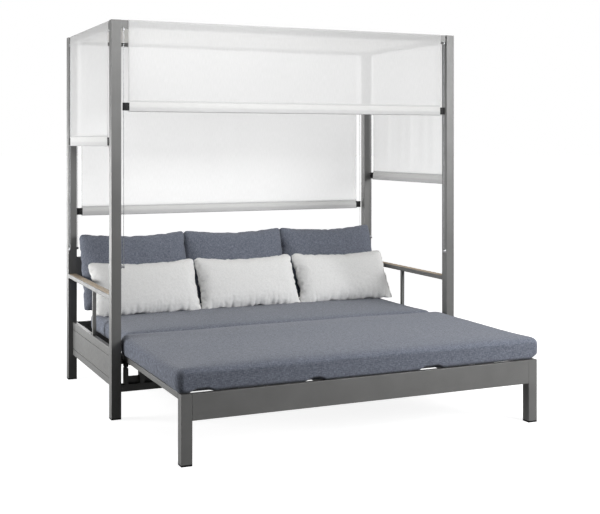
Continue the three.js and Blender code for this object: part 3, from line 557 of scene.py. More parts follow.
def hem_band(side_name):
    """The sewn band: thick round the bar below, thin where its two layers are stitched above."""
    side = SIDES[side_name]
    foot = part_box(f"bar_{side_name}")[0].z
    turn = [math.radians(a) for a in range(0, 181, 20)]
    bottom = [(HEM_PLANE - HEM_HALF * math.cos(a), HEM_HALF * (1 - math.sin(a))) for a in turn]
    start, end = side["start"] + BLIND_GAP, side["end"] - BLIND_GAP
    count = 90 if side["run"] == "x" else 50
    phase = np.random.default_rng(side["seed"] + 40).uniform(0, 6.28, 3)
    rings = []
    for i in range(count + 1):
        along = start + (end - start) * (i / count)
        ring = []
        for depth, rise in HEM_FACE + bottom + HEM_REAR:
            height = foot + rise
            share = max(0.0, math.sin(math.pi * rise / HEM_RISE))
            wave = math.sin(40 * along + phase[0] + 30 * height) + 0.7 * math.sin(71 * along + phase[1])
            lift = HEM_LIFT * math.sin(17 * along + phase[2])
            ring.append(spot(side, along, depth + HEM_PULL * share * wave, height + lift * share))
        rings.append(ring)
    mesh = ringed(f"hem_{side_name}", rings)
    at = points_of(mesh)
    axis = 0 if side["run"] == "x" else 1
    lay_flat(mesh, np.stack([at[:, axis] - start, at[:, 2] - foot], -1))
    shapes = [(mesh, hem_cloth)]
    for depth in STITCH_DEPTHS:
        row = {
            "Row_start": spot(side, start + STITCH_INSET, depth, foot + STITCH_HEIGHT),
            "Row_end": spot(side, end - STITCH_INSET, depth, foot + STITCH_HEIGHT),
            "Grain_size": (STITCH_LONG, STITCH_THICK, STITCH_THICK),
            "Pitch": STITCH_PITCH,
            "Thread": sewing_thread,
        }
        shapes.append((made_by(stitch_row, **row), sewing_thread))
    return joined(f"hem_{side_name}", shapes)


def shade_by_angle(piece, degrees=35):
    piece.data.shade_smooth()
    piece.data.set_sharp_from_angle(angle=math.radians(degrees))


for side_name in SIDES:
    hem = hem_band(side_name)
    shade_by_angle(hem)
    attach(hem, f"bottom_bar_{side_name}")
    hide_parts(f"bar_{side_name}")

# Wire clips. A moulded black clip sits in each end of the hem: a tongue in the pocket, a sleeve that
# runs on the guide wire, and a ribbed knob that clamps the blind at the height where it is left.
# The profiles are lists of radii and their distances along the axis.
WIRE_FROM_POST = 0.014
CLIP_HALF = 0.0066
CLIP_FOOT = 0.006
CLIP_TOP = 0.048
CLIP_FROM_POST = 0.0205
TONGUE = 0.006
WEB_HALF = 0.0035
WEB_INSET = 0.004
KNOB_FROM_POST = 0.0235
SLEEVE = [(0.0045, -0.021), (0.0066, -0.0195), (0.0066, 0.0195), (0.0045, 0.021)]
SLEEVE += [(0.0026, 0.021), (0.0026, -0.021)]
KNOB = [(0.004, -0.001), (0.004, 0.001), (0.0078, 0.0012), (0.0082, 0.0032)]
KNOB += [(0.0082, 0.0058), (0.007, 0.007), (0.0035, 0.0072)]


def rounded_block(low, high, edge):
    """A moulded block with rounded edges."""
    solid = bmesh.new()
    bmesh.ops.create_cube(solid, size=1)
    low, high = Vector([min(p) for p in zip(low, high)]), Vector([max(p) for p in zip(low, high)])
    for vert in solid.verts:
        vert.co = Vector([low[i] + (vert.co[i] + 0.5) * (high[i] - low[i]) for i in range(3)])
    bmesh.ops.bevel(solid, geom=solid.edges[:], offset=edge, segments=2, profile=0.6, affect="EDGES")
    mesh = bpy.data.meshes.new("block")
    solid.to_mesh(mesh)
    solid.free()
    return mesh


def lathed(profile, middle, axis, sides, ribs=0, rib=0.0):
    """A turned solid: radii at their distances along an axis, with ribs round its rim if given."""
    turn = axis.to_track_quat("Z", "Y").to_matrix()
    rings = []
    for radius, along in profile:
        ring = []
        for k in range(sides):
            angle = 2 * math.pi * k / sides
            size = radius + (rib * math.cos(ribs * angle) if ribs and radius > rib * 4 else 0)
            local = Vector((size * math.cos(angle), size * math.sin(angle), along))
            ring.append(middle + turn @ local)
        rings.append(ring)
    return ringed("lathed", rings)


def post_side(side, at_start):
    """Where a side meets a post, and the way from there along the side."""
    return (side["start"], 1) if at_start else (side["end"], -1)


def wire_clip(side_name, at_start):
    side = SIDES[side_name]
    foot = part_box(f"bar_{side_name}")[0].z
    root, away = post_side(side, at_start)
    low, high = foot + CLIP_FOOT, foot + CLIP_TOP
    wire = root + away * WIRE_FROM_POST
    body = rounded_block(
        spot(side, root + away * CLIP_FROM_POST, HEM_PLANE - CLIP_HALF, low),
        spot(side, root + away * (BLIND_GAP + TONGUE), HEM_PLANE + CLIP_HALF, high),
        edge=0.0018,
    )
    sleeve_at = Vector(spot(side, wire, HEM_PLANE, (low + high) / 2))
    sleeve = lathed(SLEEVE, sleeve_at, Vector((0, 0, 1)), sides=20)
    web = rounded_block(
        spot(side, wire + away * 0.0055, HEM_PLANE - WEB_HALF, low + WEB_INSET),
        spot(side, root + away * 0.0215, HEM_PLANE + WEB_HALF, high - WEB_INSET),
        edge=0.0012,
    )
    inwards = Vector(spot(side, 0, 1, 0)) - Vector(spot(side, 0, 0, 0))
    knob_at = Vector(spot(side, root + away * KNOB_FROM_POST, HEM_PLANE + CLIP_HALF, (low + high) / 2))
    knob = lathed(KNOB, knob_at, inwards, sides=48, ribs=12, rib=0.00045)
    shapes = [(shape, black_nylon) for shape in (body, sleeve, web, knob)]
    piece = joined(f"wire_clip_{side_name}_{1 if at_start else 2}", shapes)
    shade_by_angle(piece)
    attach(piece, f"bottom_bar_{side_name}")


for side_name in SIDES:
    for at_start in (True, False):
        wire_clip(side_name, at_start)

# Guide wires. A stranded stainless wire on each side of every blind, stretched between an anchor
# screwed under the beam and a small eyelet screwed to the post.
steel_strand, tree, steel = new_finish("steel_strand")
drawn = grain_of(tree, place_in(tree), 300, stretch=(1, 1, 0.2), detail=3)
give(
    tree,
    steel,
    Base_Color=ramp_of(tree, drawn, [(0.3, (128, 129, 131)), (0.7, (176, 177, 179))]),
    Roughness=spread_of(tree, drawn, 0.28, 0.42),
    Metallic=0.85,
)

# The lay is the height in which one of the six wires goes once round.
WIRE_RADIUS = 0.0015
WIRE_LAY = 0.054
WIRE_STEP = 0.0045
WIRE_SIDES = 12
ANCHOR = [(0.0032, -0.016), (0.0046, -0.0145), (0.005, -0.012), (0.005, -0.006)]
ANCHOR += [(0.0042, -0.0055), (0.0042, -0.0035), (0.005, -0.003), (0.005, 0)]
EYELET = [(0.0028, -0.011), (0.0055, -0.0095), (0.0062, -0.006), (0.0062, 0.0)]
EYELET += [(0.0055, 0.003), (0.0028, 0.0045)]
EYELET_RISE = 0.013


def strand(middle_x, middle_y, low, high):
    """Six wires laid round each other, as one closed rod with a twisted outline."""
    steps = int((high - low) / WIRE_STEP)
    rings = []
    for i in range(steps + 1):
        height = low + (high - low) * i / steps
        ring = []
        for k in range(WIRE_SIDES):
            angle = 2 * math.pi * k / WIRE_SIDES
            size = WIRE_RADIUS * (0.93 + 0.07 * math.cos(6 * (angle - 2 * math.pi * height / WIRE_LAY)))
            ring.append((middle_x + size * math.cos(angle), middle_y + size * math.sin(angle), height))
        rings.append(ring)
    return ringed("strand", rings)


def guide_wire(side_name, at_start):
    side = SIDES[side_name]
    node = f"wire_{side_name}_{1 if at_start else 2}"
    low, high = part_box(node)
    root, away = post_side(side, at_start)
    at = Vector(spot(side, root + away * WIRE_FROM_POST, HEM_PLANE, 0))
    rod = strand(at.x, at.y, low.z + 0.012, high.z - 0.004)
    up = Vector((0, 0, 1))
    anchor = lathed(ANCHOR, Vector((at.x, at.y, high.z)), up, sides=24)
    eye = lathed(EYELET, Vector((at.x, at.y, low.z + EYELET_RISE)), up, sides=24)
    neck = rounded_block(
        spot(side, root + away * 0.0004, HEM_PLANE - 0.0042, low.z + 0.004),
        spot(side, root + away * (WIRE_FROM_POST - 0.003), HEM_PLANE + 0.0042, low.z + 0.017),
        edge=0.0014,
    )
    plate = rounded_block(
        spot(side, root + away * 0.0003, HEM_PLANE - 0.006, low.z + 0.0005),
        spot(side, root + away * 0.0026, HEM_PLANE + 0.006, low.z + 0.0215),
        edge=0.0008,
    )
    shapes = [(shape, steel_strand) for shape in (rod, anchor, eye, neck, plate)]
    piece = joined(f"guide_{node}", shapes)
    shade_by_angle(piece, 45)
    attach(piece, "frame")
    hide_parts(node)


for side_name in SIDES:
    for at_start in (True, False):
        guide_wire(side_name, at_start)

# Roof cloth. A denser cloth of the same weave, with a turned-in border, stretched between the four
# beams. It hangs a little in the middle and is cut away round the posts.
ROOF_BORDER = 0.03
ROOF_DROP = 0.020
ROOF_SAG = 0.016
ROOF_RIPPLE = 0.0011
ROOF_INSET = 0.050
NOTCH_PLAY = 0.0006

roof_canvas, tree, lit = woven_cloth("roof_canvas", (224, 223, 220), (231, 230, 228), 0.4)
give(tree, tree.nodes["Material Output"], Surface=lit)


def roof_lines(low, high, count):
    """Places across the roof, with lines along its border and along the notches for the posts."""
    edge = np.array([0, POST_SIZE - ROOF_INSET + NOTCH_PLAY, ROOF_BORDER])
    inner = np.linspace(low + 2 * ROOF_BORDER, high - 2 * ROOF_BORDER, count)
    return np.concatenate([low + edge, inner, high - edge[::-1]])


def roof_sheet():
    """The sagging sheet before it is cut round the posts, with its flat size."""
    low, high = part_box("roof_cloth")
    xs = roof_lines(low.x, high.x, 44)[None, :]
    ys = roof_lines(low.y, high.y, 24)[:, None]
    middle = (low + high) / 2
    half = (high - low) / 2
    u = (xs - middle.x) / half.x
    v = (ys - middle.y) / half.y
    ripple = ROOF_RIPPLE * np.sin(9 * u + 2 * v) * (1 - u**4) * (1 - v**4)
    level = TOP - ROOF_DROP - ROOF_SAG * (1 - u**2) * (1 - v**2) - ripple
    points = np.stack([*np.broadcast_arrays(xs, ys), level], -1)
    edge = np.minimum(np.minimum(xs - low.x, high.x - xs), np.minimum(ys - low.y, high.y - ys))
    thick = np.where(edge <= ROOF_BORDER + 1e-6, CLOTH_THICK * 1.6, CLOTH_THICK)
    piece = closed_sheet("roof_sheet", points, thick, points[:, :, :2].copy(), roof_canvas)
    return piece, (float(high.x - low.x), float(high.y - low.y))


def cut_round_posts(mesh):
    """Takes the four corners out of the roof and closes the cut edges."""
    shell = bmesh.new()
    shell.from_mesh(mesh)
    low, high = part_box("roof_cloth")
    notch = POST_SIZE - ROOF_INSET + NOTCH_PLAY / 2
    gone = []
    for face in shell.faces:
        at = face.calc_center_median()
        if abs(at.x) > high.x - notch and not low.y + notch < at.y < high.y - notch:
            gone.append(face)
    bmesh.ops.delete(shell, geom=gone, context="FACES")
    bmesh.ops.holes_fill(shell, edges=[e for e in shell.edges if e.is_boundary], sides=0)
    bmesh.ops.recalc_face_normals(shell, faces=shell.faces)
    shell.to_mesh(mesh)
    shell.free()


roof, flat = roof_sheet()
point_outwards(roof.data)
cut_round_posts(roof.data)
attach(roof, "frame")
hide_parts("roof_cloth")

# Side and back walls. Hollow planks with long grooves close the base, and a flat plank holds the back
# cushions. All are welded aluminium with the charcoal coat.
for name in ("side_apron_l", "side_apron_r", "back_apron", "back_rail", "armrest_l", "armrest_r"):
    coat_node(name, charcoal_coat)

# Arm tops. Strips of pale oiled teak let into the armrests, with a fine straight grain along them that
# has weathered a little grey.
arm_teak, tree, teak = new_finish("arm_teak")
place = place_in(tree)
figure = grain_of(tree, place, 70, stretch=(1, 0.035, 1), detail=6, roughness=0.6)
pores = grain_of(tree, place, 420, stretch=(1, 0.02, 1), detail=3)
brown = [(0.25, (152, 134, 112)), (0.5, (186, 169, 147)), (0.75, (205, 192, 172))]
give(tree, teak, Base_Color=ramp_of(tree, figure, brown), Roughness=spread_of(tree, pores, 0.5, 0.72))
raise_skin(tree, teak, pores, 0.3, 0.0006)
for name in ("arm_inlay_l", "arm_inlay_r"):
    coat_node(name, arm_teak)

# Lower front frame and fixed deck. A low beam, uprights and a cross support carry flat tubes that run
# front to back; they are welded and coated as one.
for name in ("front_frame", "seat_deck"):
    coat_node(name, charcoal_coat)

# Guide rollers. Black nylon wheels on the front frame's axle, that carry the bench's side rails.
for name in ("guide_roller_l", "guide_roller_r"):
    coat_node(name, black_nylon)

# Pull-out bench. A front plank, two legs and a deck of flat tubes that lie between the fixed ones,
# with the same coat as the frame.
for name in ("bench_deck", "bench_apron", "bench_leg_l", "bench_leg_r"):
    coat_node(name, charcoal_coat)
for name in ("bench_foot_l", "bench_foot_r"):
    coat_node(name, black_nylon)


# Seat cushions. Two broad foam cushions in a slate-blue heather cloth with a boxed border and soft
# edges. The front one lies on the bench and the rear one on the fixed deck, and they meet behind the posts.
def crossing_threads(tree, place, scale, drawn, roughness):
    """Uneven threads that run both ways through a cloth, each drawn out along its way."""
    across = grain_of(tree, place, scale, stretch=(drawn, 1, 1), roughness=roughness)
    along = grain_of(tree, place, scale, stretch=(1, drawn, drawn), roughness=roughness)
    return worked_out(tree, "ADD", across, along)


slate_heather, tree, cover = new_finish("slate_heather")
place = place_in(tree)
threads = crossing_threads(tree, place, 640, 0.1, 0.6)
melange = grain_of(tree, place, 230, stretch=(0.25, 1, 1))
flecks = worked_out(tree, "MULTIPLY_ADD", melange, 0.4, threads)
slate = [(0.05, (81, 86, 97)), (0.5, (102, 107, 119)), (0.95, (129, 134, 146))]
give(
    tree,
    cover,
    Base_Color=ramp_of(tree, spread_of(tree, flecks, 0, 1, 0.92, 1.48), slate),
    Roughness=0.92,
    Specular_IOR_Level=0.15,
    Sheen_Weight=0.15,
    Sheen_Roughness=0.6,
)
raise_skin(tree, cover, threads, 0.45, 0.0009)


def move_to(mesh, points):
    mesh.vertices.foreach_set("co", np.ascontiguousarray(points, dtype=float).ravel())
    mesh.update()


def even_net(half_x, half_y, corner, columns, rows):
    """Points of an even net over a panel with rounded corners."""
    x, y = np.meshgrid(np.linspace(-half_x, half_x, columns), np.linspace(-half_y, half_y, rows))
    past_x, past_y = np.abs(x) - (half_x - corner), np.abs(y) - (half_y - corner)
    turning = (past_x > 0) & (past_y > 0)
    share = np.where(turning, np.maximum(past_x, past_y) / np.maximum(np.hypot(past_x, past_y), 1e-9), 1)
    x = np.where(turning, np.sign(x) * (half_x - corner + past_x * share), x)
    y = np.where(turning, np.sign(y) * (half_y - corner + past_y * share), y)
    return x, y


def sewn_cover(name, half_x, half_y, corner, pitch, rings, front, back, finish):
    """A closed cover: two panels, joined at their edge by rings that each have an inset and a level.

    With one ring the panels share it as their seam, and with more it is a boxed border."""
    columns, rows = round(2 * half_x / pitch) + 1, round(2 * half_y / pitch) + 1
    grid = np.arange(columns * rows).reshape(rows, columns)
    rim = np.concatenate([grid[0, :-1], grid[:-1, -1], grid[-1, :0:-1], grid[:0:-1, 0]])

    def panel(inset, level, shape):
        x, y = even_net(half_x - inset, half_y - inset, max(corner - inset, 0.004), columns, rows)
        net = np.stack([x, y, shape(x, y)], -1).reshape(-1, 3)
        net[rim, 2] = level
        return net

    points = [panel(*rings[0], front)]
    loops = [rim]
    count = columns * rows
    for inset, level in rings[1:-1]:
        points.append(panel(inset, level, front)[rim])
        loops.append(count + np.arange(len(rim)))
        count += len(rim)
    under = np.full(columns * rows, -1)
    last = panel(*rings[-1], back)
    if len(rings) == 1:
        under[rim] = rim
    fresh = under < 0
    under[fresh] = count + np.arange(fresh.sum())
    points.append(last[fresh])
    if len(rings) > 1:
        loops.append(under[rim])
    under = under.reshape(rows, columns)

    def quads(net):
        return np.stack([net[:-1, :-1], net[:-1, 1:], net[1:, 1:], net[1:, :-1]], -1).reshape(-1, 4)

    faces = [quads(grid), quads(under)[:, ::-1]]
    for upper, lower in zip(loops, loops[1:]):
        faces.append(np.stack([upper, lower, np.roll(lower, -1), np.roll(upper, -1)], -1))
    mesh = bpy.data.meshes.new(name)
    mesh.from_pydata(np.concatenate(points).tolist(), [], np.concatenate(faces).tolist())
    mesh.materials.append(finish)
    return add_to_scene(name, mesh)


def fill_up(piece, pressure, frames, slack=0.0, most=None):
    """Blows up the cover like a filled one. The cloth may be a little larger than its shape, which makes
    it pucker, and no point is moved further than the given distance."""
    start = points_of(piece.data)
    cloth = piece.modifiers.new("cover", "CLOTH")
    cloth.settings.quality = 5
    cloth.settings.mass = 0.3
    cloth.settings.air_damping = 5
    cloth.settings.tension_stiffness = 12
    cloth.settings.compression_stiffness = 12
    cloth.settings.shear_stiffness = 6
    cloth.settings.bending_stiffness = 0.15
    cloth.settings.shrink_min = -slack
    cloth.settings.use_pressure = True
    cloth.settings.uniform_pressure_force = pressure
    cloth.settings.effector_weights.gravity = 0
    cloth.point_cache.frame_start = 1
    cloth.point_cache.frame_end = frames
    for step in range(1, frames + 1):
        scene.frame_set(step)
    mesh = mesh_shown(piece)
    end = points_of(mesh)
    bpy.data.meshes.remove(mesh)
    piece.modifiers.clear()
    scene.frame_set(1)
    move = end - start
    far = np.linalg.norm(move, axis=1, keepdims=True)
    keep = 1 if most is None else np.minimum(1, most / np.maximum(far, 1e-9))
    move_to(piece.data, start + move * keep)


def finer(piece):
    """Splits every face in four and makes the piece smooth."""
    smooth = piece.modifiers.new("finer", "SUBSURF")
    smooth.levels = smooth.render_levels = 1
    mesh = mesh_shown(piece)
    piece.modifiers.clear()
    old = piece.data
    piece.data = mesh
    bpy.data.meshes.remove(old)
    mesh.name = piece.name
    mesh.shade_smooth()


def smooth_noise(at, seed, pitch):
    """Smooth uneven waves at points, from about -1 to 1."""
    random = np.random.default_rng(seed)
    total = np.zeros(len(at))
    for _ in range(7):
        way = random.normal(size=3)
        way /= np.linalg.norm(way)
        turns = at @ way * 2 * math.pi / (pitch * random.uniform(0.6, 1.5))
        total += np.sin(turns + random.uniform(0, 6.28))
    return total / 3.5


SEAT_ROUND = 0.03
SEAT_HEEL = 0.024
SEAT_BULGE = 0.003
SEAT_CORNER = 0.045
SEAT_CROWN = 0.007
SEAT_DRAWN = 0.002
SEAT_NET = 0.0145
SEAT_CLEAR = 0.0004
SEAT_UNEVEN = 0.0006
SEAM_BAND = 0.04
LIFT_RISE = 0.014
LIFT_EASE = 0.03
LIFT_BACK = 0.045
LIFT_FADE = 0.02
LIFT_HEIGHT = 0.05


def seat_cushion(name, node, body, seed, narrow=0.0, shift=0.0, lifts=()):
    """A boxed cushion in the place of its CAD solid. It can be narrower by some at each end, stand a
    little to the right, and have spans where the foot of its front edge stands clear of the bench."""
    low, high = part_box(node)
    middle = (low + high) / 2
    half_x, half_y = (high.x - low.x) / 2 - narrow, (high.y - low.y) / 2
    foot, top = low.z - middle.z + SEAT_CLEAR, high.z - middle.z - SEAT_CROWN

    def crowned(x, y):
        return top + SEAT_CROWN * (1 - (x / half_x) ** 4) * (1 - (y / half_y) ** 4)

    def lying(x, y):
        return foot + 0 * x

    rings = []
    for a in (0, 0.4, 0.8, 1.2):
        rings.append((SEAT_ROUND * (1 - math.sin(a)), top - SEAT_ROUND * (1 - math.cos(a))))
    wall = np.linspace(top - SEAT_ROUND, foot + SEAT_HEEL, 5)
    rings += [(0.0, float(level)) for level in wall]
    for a in (0.4, 0.8, 1.2, 1.571):
        rings.append((SEAT_HEEL * (1 - math.cos(a)), foot + SEAT_HEEL * (1 - math.sin(a))))
    piece = sewn_cover(name, half_x, half_y, SEAT_CORNER, SEAT_NET, rings, crowned, lying, slate_heather)
    at = points_of(piece.data)
    at[:, 0] -= SEAT_DRAWN * (at[:, 0] / half_x) ** 3 * (1 - (at[:, 1] / half_y) ** 2)
    at[:, 1] -= SEAT_DRAWN * (at[:, 1] / half_y) ** 3 * (1 - (at[:, 0] / half_x) ** 2)
    swell = np.clip(1 - ((at[:, 2] - foot) / (top - foot) * 2 - 1) ** 2, 0, 1)
    at[:, 0] += SEAT_BULGE * (at[:, 0] / half_x) ** 9 * swell
    past = np.maximum(np.abs(at[:, 0]) - half_x, np.abs(at[:, 1]) - half_y)
    side = np.clip((past + SEAM_BAND) / SEAM_BAND, 0, 1)
    at += SEAT_UNEVEN * side[:, None] * np.random.default_rng(seed).normal(size=at.shape)
    move_to(piece.data, at)
    fill_up(piece, pressure=0.8, frames=16, slack=0.035, most=0.007)
    finer(piece)
    at = points_of(piece.data)
    lie = smooth_noise(at * [1, 1, 0.2], seed + 1, 0.42)
    at[:, 2] += 0.0016 * lie * np.clip(at[:, 2] / top, 0, 1)
    for start, end in lifts:
        after = np.clip((at[:, 0] - start) / LIFT_EASE + 0.5, 0, 1)
        before = np.clip((end - at[:, 0]) / LIFT_EASE + 0.5, 0, 1)
        near = np.clip((-half_y + LIFT_BACK - at[:, 1]) / LIFT_FADE, 0, 1)
        below = np.clip((foot + LIFT_HEIGHT - at[:, 2]) / LIFT_HEIGHT, 0, 1)
        at[:, 2] += LIFT_RISE * (after * before) * near * below
    at += np.array(middle) + [shift, 0, 0]
    at[:, 2] = np.maximum(at[:, 2], low.z + SEAT_CLEAR)
    at[:, 1] = np.clip(at[:, 1], low.y, high.y)
    move_to(piece.data, at)
    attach(piece, body)
    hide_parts(node)


FRONT_LIFTS = [(-0.913, -0.826), (-0.335, -0.265), (0.284, 0.390), (0.950, 1.100)]
FRONT_FIT = dict(shift=0.002, lifts=FRONT_LIFTS)
seat_cushion("front_seat_cushion", "seat_cushion_front", "front_cushion", 21, **FRONT_FIT)
seat_cushion("rear_seat_cushion", "seat_cushion_rear", "frame", 27, narrow=0.036)

# Back cushions. Three soft ones in the same cloth stand on the rear seat cushion and lean on the back
# plank. Each has two panels and a narrow border between them, and is full in the middle.
SEAT_LEVEL = 0.4416
SEAT_SOFT = 0.006
SEAT_WAVE = 0.009
CUT_HALF_X = 0.53
CUT_HALF_Y = 0.54
OPEN_BAND = 0.09
PANEL_UNEVEN = 0.0007
GATHER_TOP = 0.4
GATHER_FOOT = 2.4
GATHER_START = 0.006
GATHER_REACH = 0.030


def stood_up(piece, size, middle, lean):
    """Gives a filled cushion its size, leans it back and lets its foot flatten on the seat."""
    at = points_of(piece.data)
    low, high = at.min(axis=0), at.max(axis=0)
    at = (at - (low + high) / 2) * (np.array(size) / (high - low))
    up = np.array([0, math.sin(lean), math.cos(lean)])
    face = np.array([0, -math.cos(lean), math.sin(lean)])
    at = np.array(middle) + at[:, :1] * np.array([1, 0, 0]) + at[:, 1:2] * up + at[:, 2:] * face
    bed = SEAT_LEVEL + SEAT_WAVE * np.clip(np.sin(at[:, 0] * 37) * np.sin(at[:, 0] * 13 + 1), 0, 1)
    above = (at[:, 2] - bed) / SEAT_SOFT
    at[:, 2] = bed + SEAT_SOFT * np.where(above > 30, above, np.log1p(np.exp(np.minimum(above, 30))))
    move_to(piece.data, at)


def gathers(flat, half_x, half_y, seed):
    """Narrow creases that run from the seam into the panels, deeper along the foot, as heights."""
    random = np.random.default_rng(seed)
    x, y = flat[:, 0], flat[:, 1]
    from_side, from_end = half_x - np.abs(x), half_y - np.abs(y)
    on_end = from_end < from_side
    away = np.minimum(from_side, from_end)
    along = np.where(on_end, x + 3 * (y > 0), y + 7 + 3 * (x > 0))
    fold = np.zeros(len(flat))
    for pitch in (0.095, 0.061, 0.043):
        pitch *= random.uniform(0.9, 1.1)
        wave = np.sin(2 * math.pi * along / pitch + 2.5 * np.sin(along * 7 + random.uniform(0, 6.28)))
        fold += 0.35 - 1.5 * np.clip(wave, 0, 1) ** 4
    deep = np.where(on_end, np.where(y < 0, GATHER_FOOT, GATHER_TOP), 1.0)
    return fold / 2 * deep * np.clip(away / GATHER_START, 0, 1) * np.exp(-away / GATHER_REACH)


def soft_cushion(name, node, middle, seed, finish, kind):
    """A cushion of two panels, cut larger than it stands, sewn together, with a border or without one,
    and filled. Its kind says how it is cut, filled, drawn in and leant back."""
    size, border = kind["size"], kind["border"]
    half_x, half_y = size[0] * CUT_HALF_X, size[1] * CUT_HALF_Y

    def lens(x, y):
        from_side = np.minimum((half_x - np.abs(x)) / OPEN_BAND, 1)
        from_end = np.minimum((half_y - np.abs(y)) / OPEN_BAND, 1)
        return border / 2 + kind["opened"] * np.sqrt(np.clip(from_side * from_end, 0, 1))

    def other(x, y):
        return -lens(x, y)

    rings = [(0.0, border * share) for share in (0.5, 0.17, -0.17, -0.5)] if border else [(0.0, 0.0)]
    piece = sewn_cover(name, half_x, half_y, kind["corner"], kind["pitch"], rings, lens, other, finish)
    flat = points_of(piece.data)
    move_to(piece.data, flat + PANEL_UNEVEN * np.random.default_rng(seed).normal(size=flat.shape))
    fill_up(piece, kind["fill"], kind["frames"])
    at = points_of(piece.data)
    normal = np.empty(len(at) * 3)
    piece.data.vertex_normals.foreach_get("vector", normal)
    at += normal.reshape(-1, 3) * (kind["fold"] * gathers(flat, half_x, half_y, seed))[:, None]
    reach_x, reach_y = np.abs(at[:, 0]).max(), np.abs(at[:, 1]).max()
    at[:, 0] *= 1 + kind["widen"] / reach_x * (1 - (at[:, 1] / reach_y) ** 2)
    at[:, 1] -= kind["dip"] * (1 - (at[:, 0] / reach_x) ** 2) * np.clip(at[:, 1] / reach_y, 0, 1) ** 3
    move_to(piece.data, at)
    finer(piece)
    stood_up(piece, size, middle, kind["lean"])
    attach(piece, "frame")
    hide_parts(node)


BACK_KIND = dict(
    size=(0.665, 0.480, 0.180),
    lean=0.32,
    corner=0.022,
    pitch=0.0115,
    opened=0.05,
    border=0.05,
    fill=1.25,
    frames=28,
    widen=0.016,
    dip=0.004,
    fold=0.0028,
)
for number in (1, 2, 3):
    node = f"back_cushion_{number}"
    low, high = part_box(node)
    middle = (low + high) / 2
    name = f"back_rest_{number}"
    soft_cushion(name, node, middle, 60 + number, slate_heather, BACK_KIND)

# Lumbar pillows. Three light grey linen-look pillows of two panels sewn edge to edge and stuffed, so
# they are full in the middle and puckered along the seam, most of all along the foot.
pale_linen, tree, linen = new_finish("pale_linen")
threads = crossing_threads(tree, place_in(tree), 620, 0.14, 0.5)
pale = [(0.1, (219, 219, 218)), (0.9, (234, 234, 233))]
give(
    tree,
    linen,
    Base_Color=ramp_of(tree, spread_of(tree, threads, 0, 1, 0.7, 1.3), pale),
    Roughness=0.9,
    Specular_IOR_Level=0.15,
)
raise_skin(tree, linen, threads, 0.35, 0.0006)

PILLOW_KIND = dict(
    size=(0.656, 0.365, 0.160),
    lean=0.5,
    corner=0.042,
    pitch=0.009,
    opened=0.03,
    border=0,
    fill=1.6,
    frames=32,
    widen=0.003,
    dip=0.010,
    fold=0.008,
)
PILLOW_FALL = math.cos(PILLOW_KIND["lean"]) * PILLOW_KIND["size"][1] / 2 + 0.003
for number in (1, 2, 3):
    node = f"pillow_{number}"
    low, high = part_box(node)
    middle = ((low.x + high.x) / 2, (low.y + high.y) / 2, high.z - PILLOW_FALL)
    name = f"lumbar_pillow_{number}"
    soft_cushion(name, node, middle, 80 + number, pale_linen, PILLOW_KIND)

# Stage. A pale floor that runs out to the horizon, where it is as white as the backdrop; near the bed
# it keeps a soft shadow.
FLOOR = 600
MIRRORED_WHITE = 0.3
stage_mesh = bpy.data.meshes.new("floor")
floor_corners = [(-FLOOR, -FLOOR, 0), (FLOOR, -FLOOR, 0), (FLOOR, FLOOR, 0), (-FLOOR, FLOOR, 0)]
stage_mesh.from_pydata(floor_corners, [], [(0, 1, 2, 3)])
floor = add_to_scene("floor", stage_mesh)


def seen_directly(tree):
    """How white the surroundings are for a ray: fully for one from the camera or through the cloth, and
    less for a reflection, as in a studio with dark walls."""
    rays = add_node(tree, "ShaderNodeLightPath").outputs
    seen = worked_out(tree, "MULTIPLY", rays["Is Glossy Ray"], MIRRORED_WHITE)
    for kind in ("Is Camera Ray", "Is Transmission Ray"):
        seen = worked_out(tree, "MAXIMUM", seen, rays[kind])
    return seen


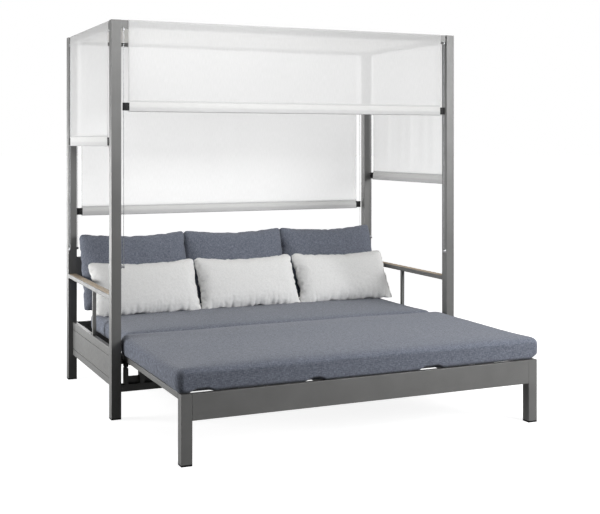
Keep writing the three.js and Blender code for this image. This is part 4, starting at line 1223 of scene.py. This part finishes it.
pale_floor, tree, painted = new_finish("pale_floor")
tree.nodes.remove(painted)
away = add_node(tree, "ShaderNodeVectorMath", {"operation": "LENGTH"}, Vector=place_in(tree))
lightness = spread_of(tree, away.outputs["Value"], 0.88, 1.0, 2.5, 9.0)
paper = add_node(tree, "ShaderNodeBsdfDiffuse", Color=(0.5, 0.5, 0.5, 1))
lift = add_node(tree, "ShaderNodeEmission", Color=(1, 1, 1, 1), Strength=lightness)
bright = add_node(tree, "ShaderNodeAddShader")
put(tree, bright.inputs[0], paper.outputs["BSDF"])
put(tree, bright.inputs[1], lift.outputs["Emission"])
grey = add_node(tree, "ShaderNodeBsdfDiffuse", Color=(0.1, 0.1, 0.1, 1))
shown = mixed(tree, seen_directly(tree), grey.outputs["BSDF"], bright.outputs["Shader"])
give(tree, tree.nodes["Material Output"], Surface=shown)
stage_mesh.materials.append(pale_floor)

world = bpy.data.worlds.new("studio")
scene.world = world
world.use_nodes = True
tree = world.node_tree
air = tree.nodes["Background"]
give(tree, air, Color=(1, 1, 1, 1), Strength=0.06)
white = add_node(tree, "ShaderNodeBackground", Color=(1, 1, 1, 1), Strength=1.0)
shown = mixed(tree, seen_directly(tree), air.outputs["Background"], white.outputs["Background"])
give(tree, tree.nodes["World Output"], Surface=shown)


# Studio light. Broad soft boxes stand overhead, on both sides, in front on the right, and behind the
# bed to shine through the cloth; a narrow one in front lights the upper beams.
def soft_box(name, place, aim, size, power, spread=180):
    lamp = bpy.data.lights.new(name, "AREA")
    lamp.shape = "RECTANGLE"
    lamp.size, lamp.size_y = size
    lamp.energy = power
    lamp.spread = math.radians(spread)
    box = add_to_scene(name, lamp)
    box.location = place
    way = Vector(aim) - Vector(place)
    box.rotation_euler = way.to_track_quat("-Z", "Y").to_euler()


soft_box("overhead_box", (1.0, -1.4, 5.0), (0.5, -0.6, 0.5), (3.0, 3.0), 84)
soft_box("rear_box", (-2.4, 3.4, 0.75), (-0.9, 0.2, 0.5), (1.5, 1.4), 27)
soft_box("back_box", (0.2, 4.2, 1.6), (0.2, 1.0, 1.6), (3.2, 1.2), 46)
soft_box("left_box", (-5.0, 1.5, 1.0), (-0.9, 0.3, 0.6), (2.2, 2.0), 215)
soft_box("right_box", (3.9, 0.2, 2.3), (1.0, 0.3, 1.6), (2.0, 1.4), 16)
soft_box("front_box", (2.3, -3.7, 2.1), (0.4, -0.6, 0.6), (1.8, 1.8), 166)
soft_box("upper_box", (-1.6, -3.9, 2.8), (-0.9, -1.0, 2.52), (1.2, 0.8), 12, spread=45)

scene.view_settings.view_transform = "Standard"
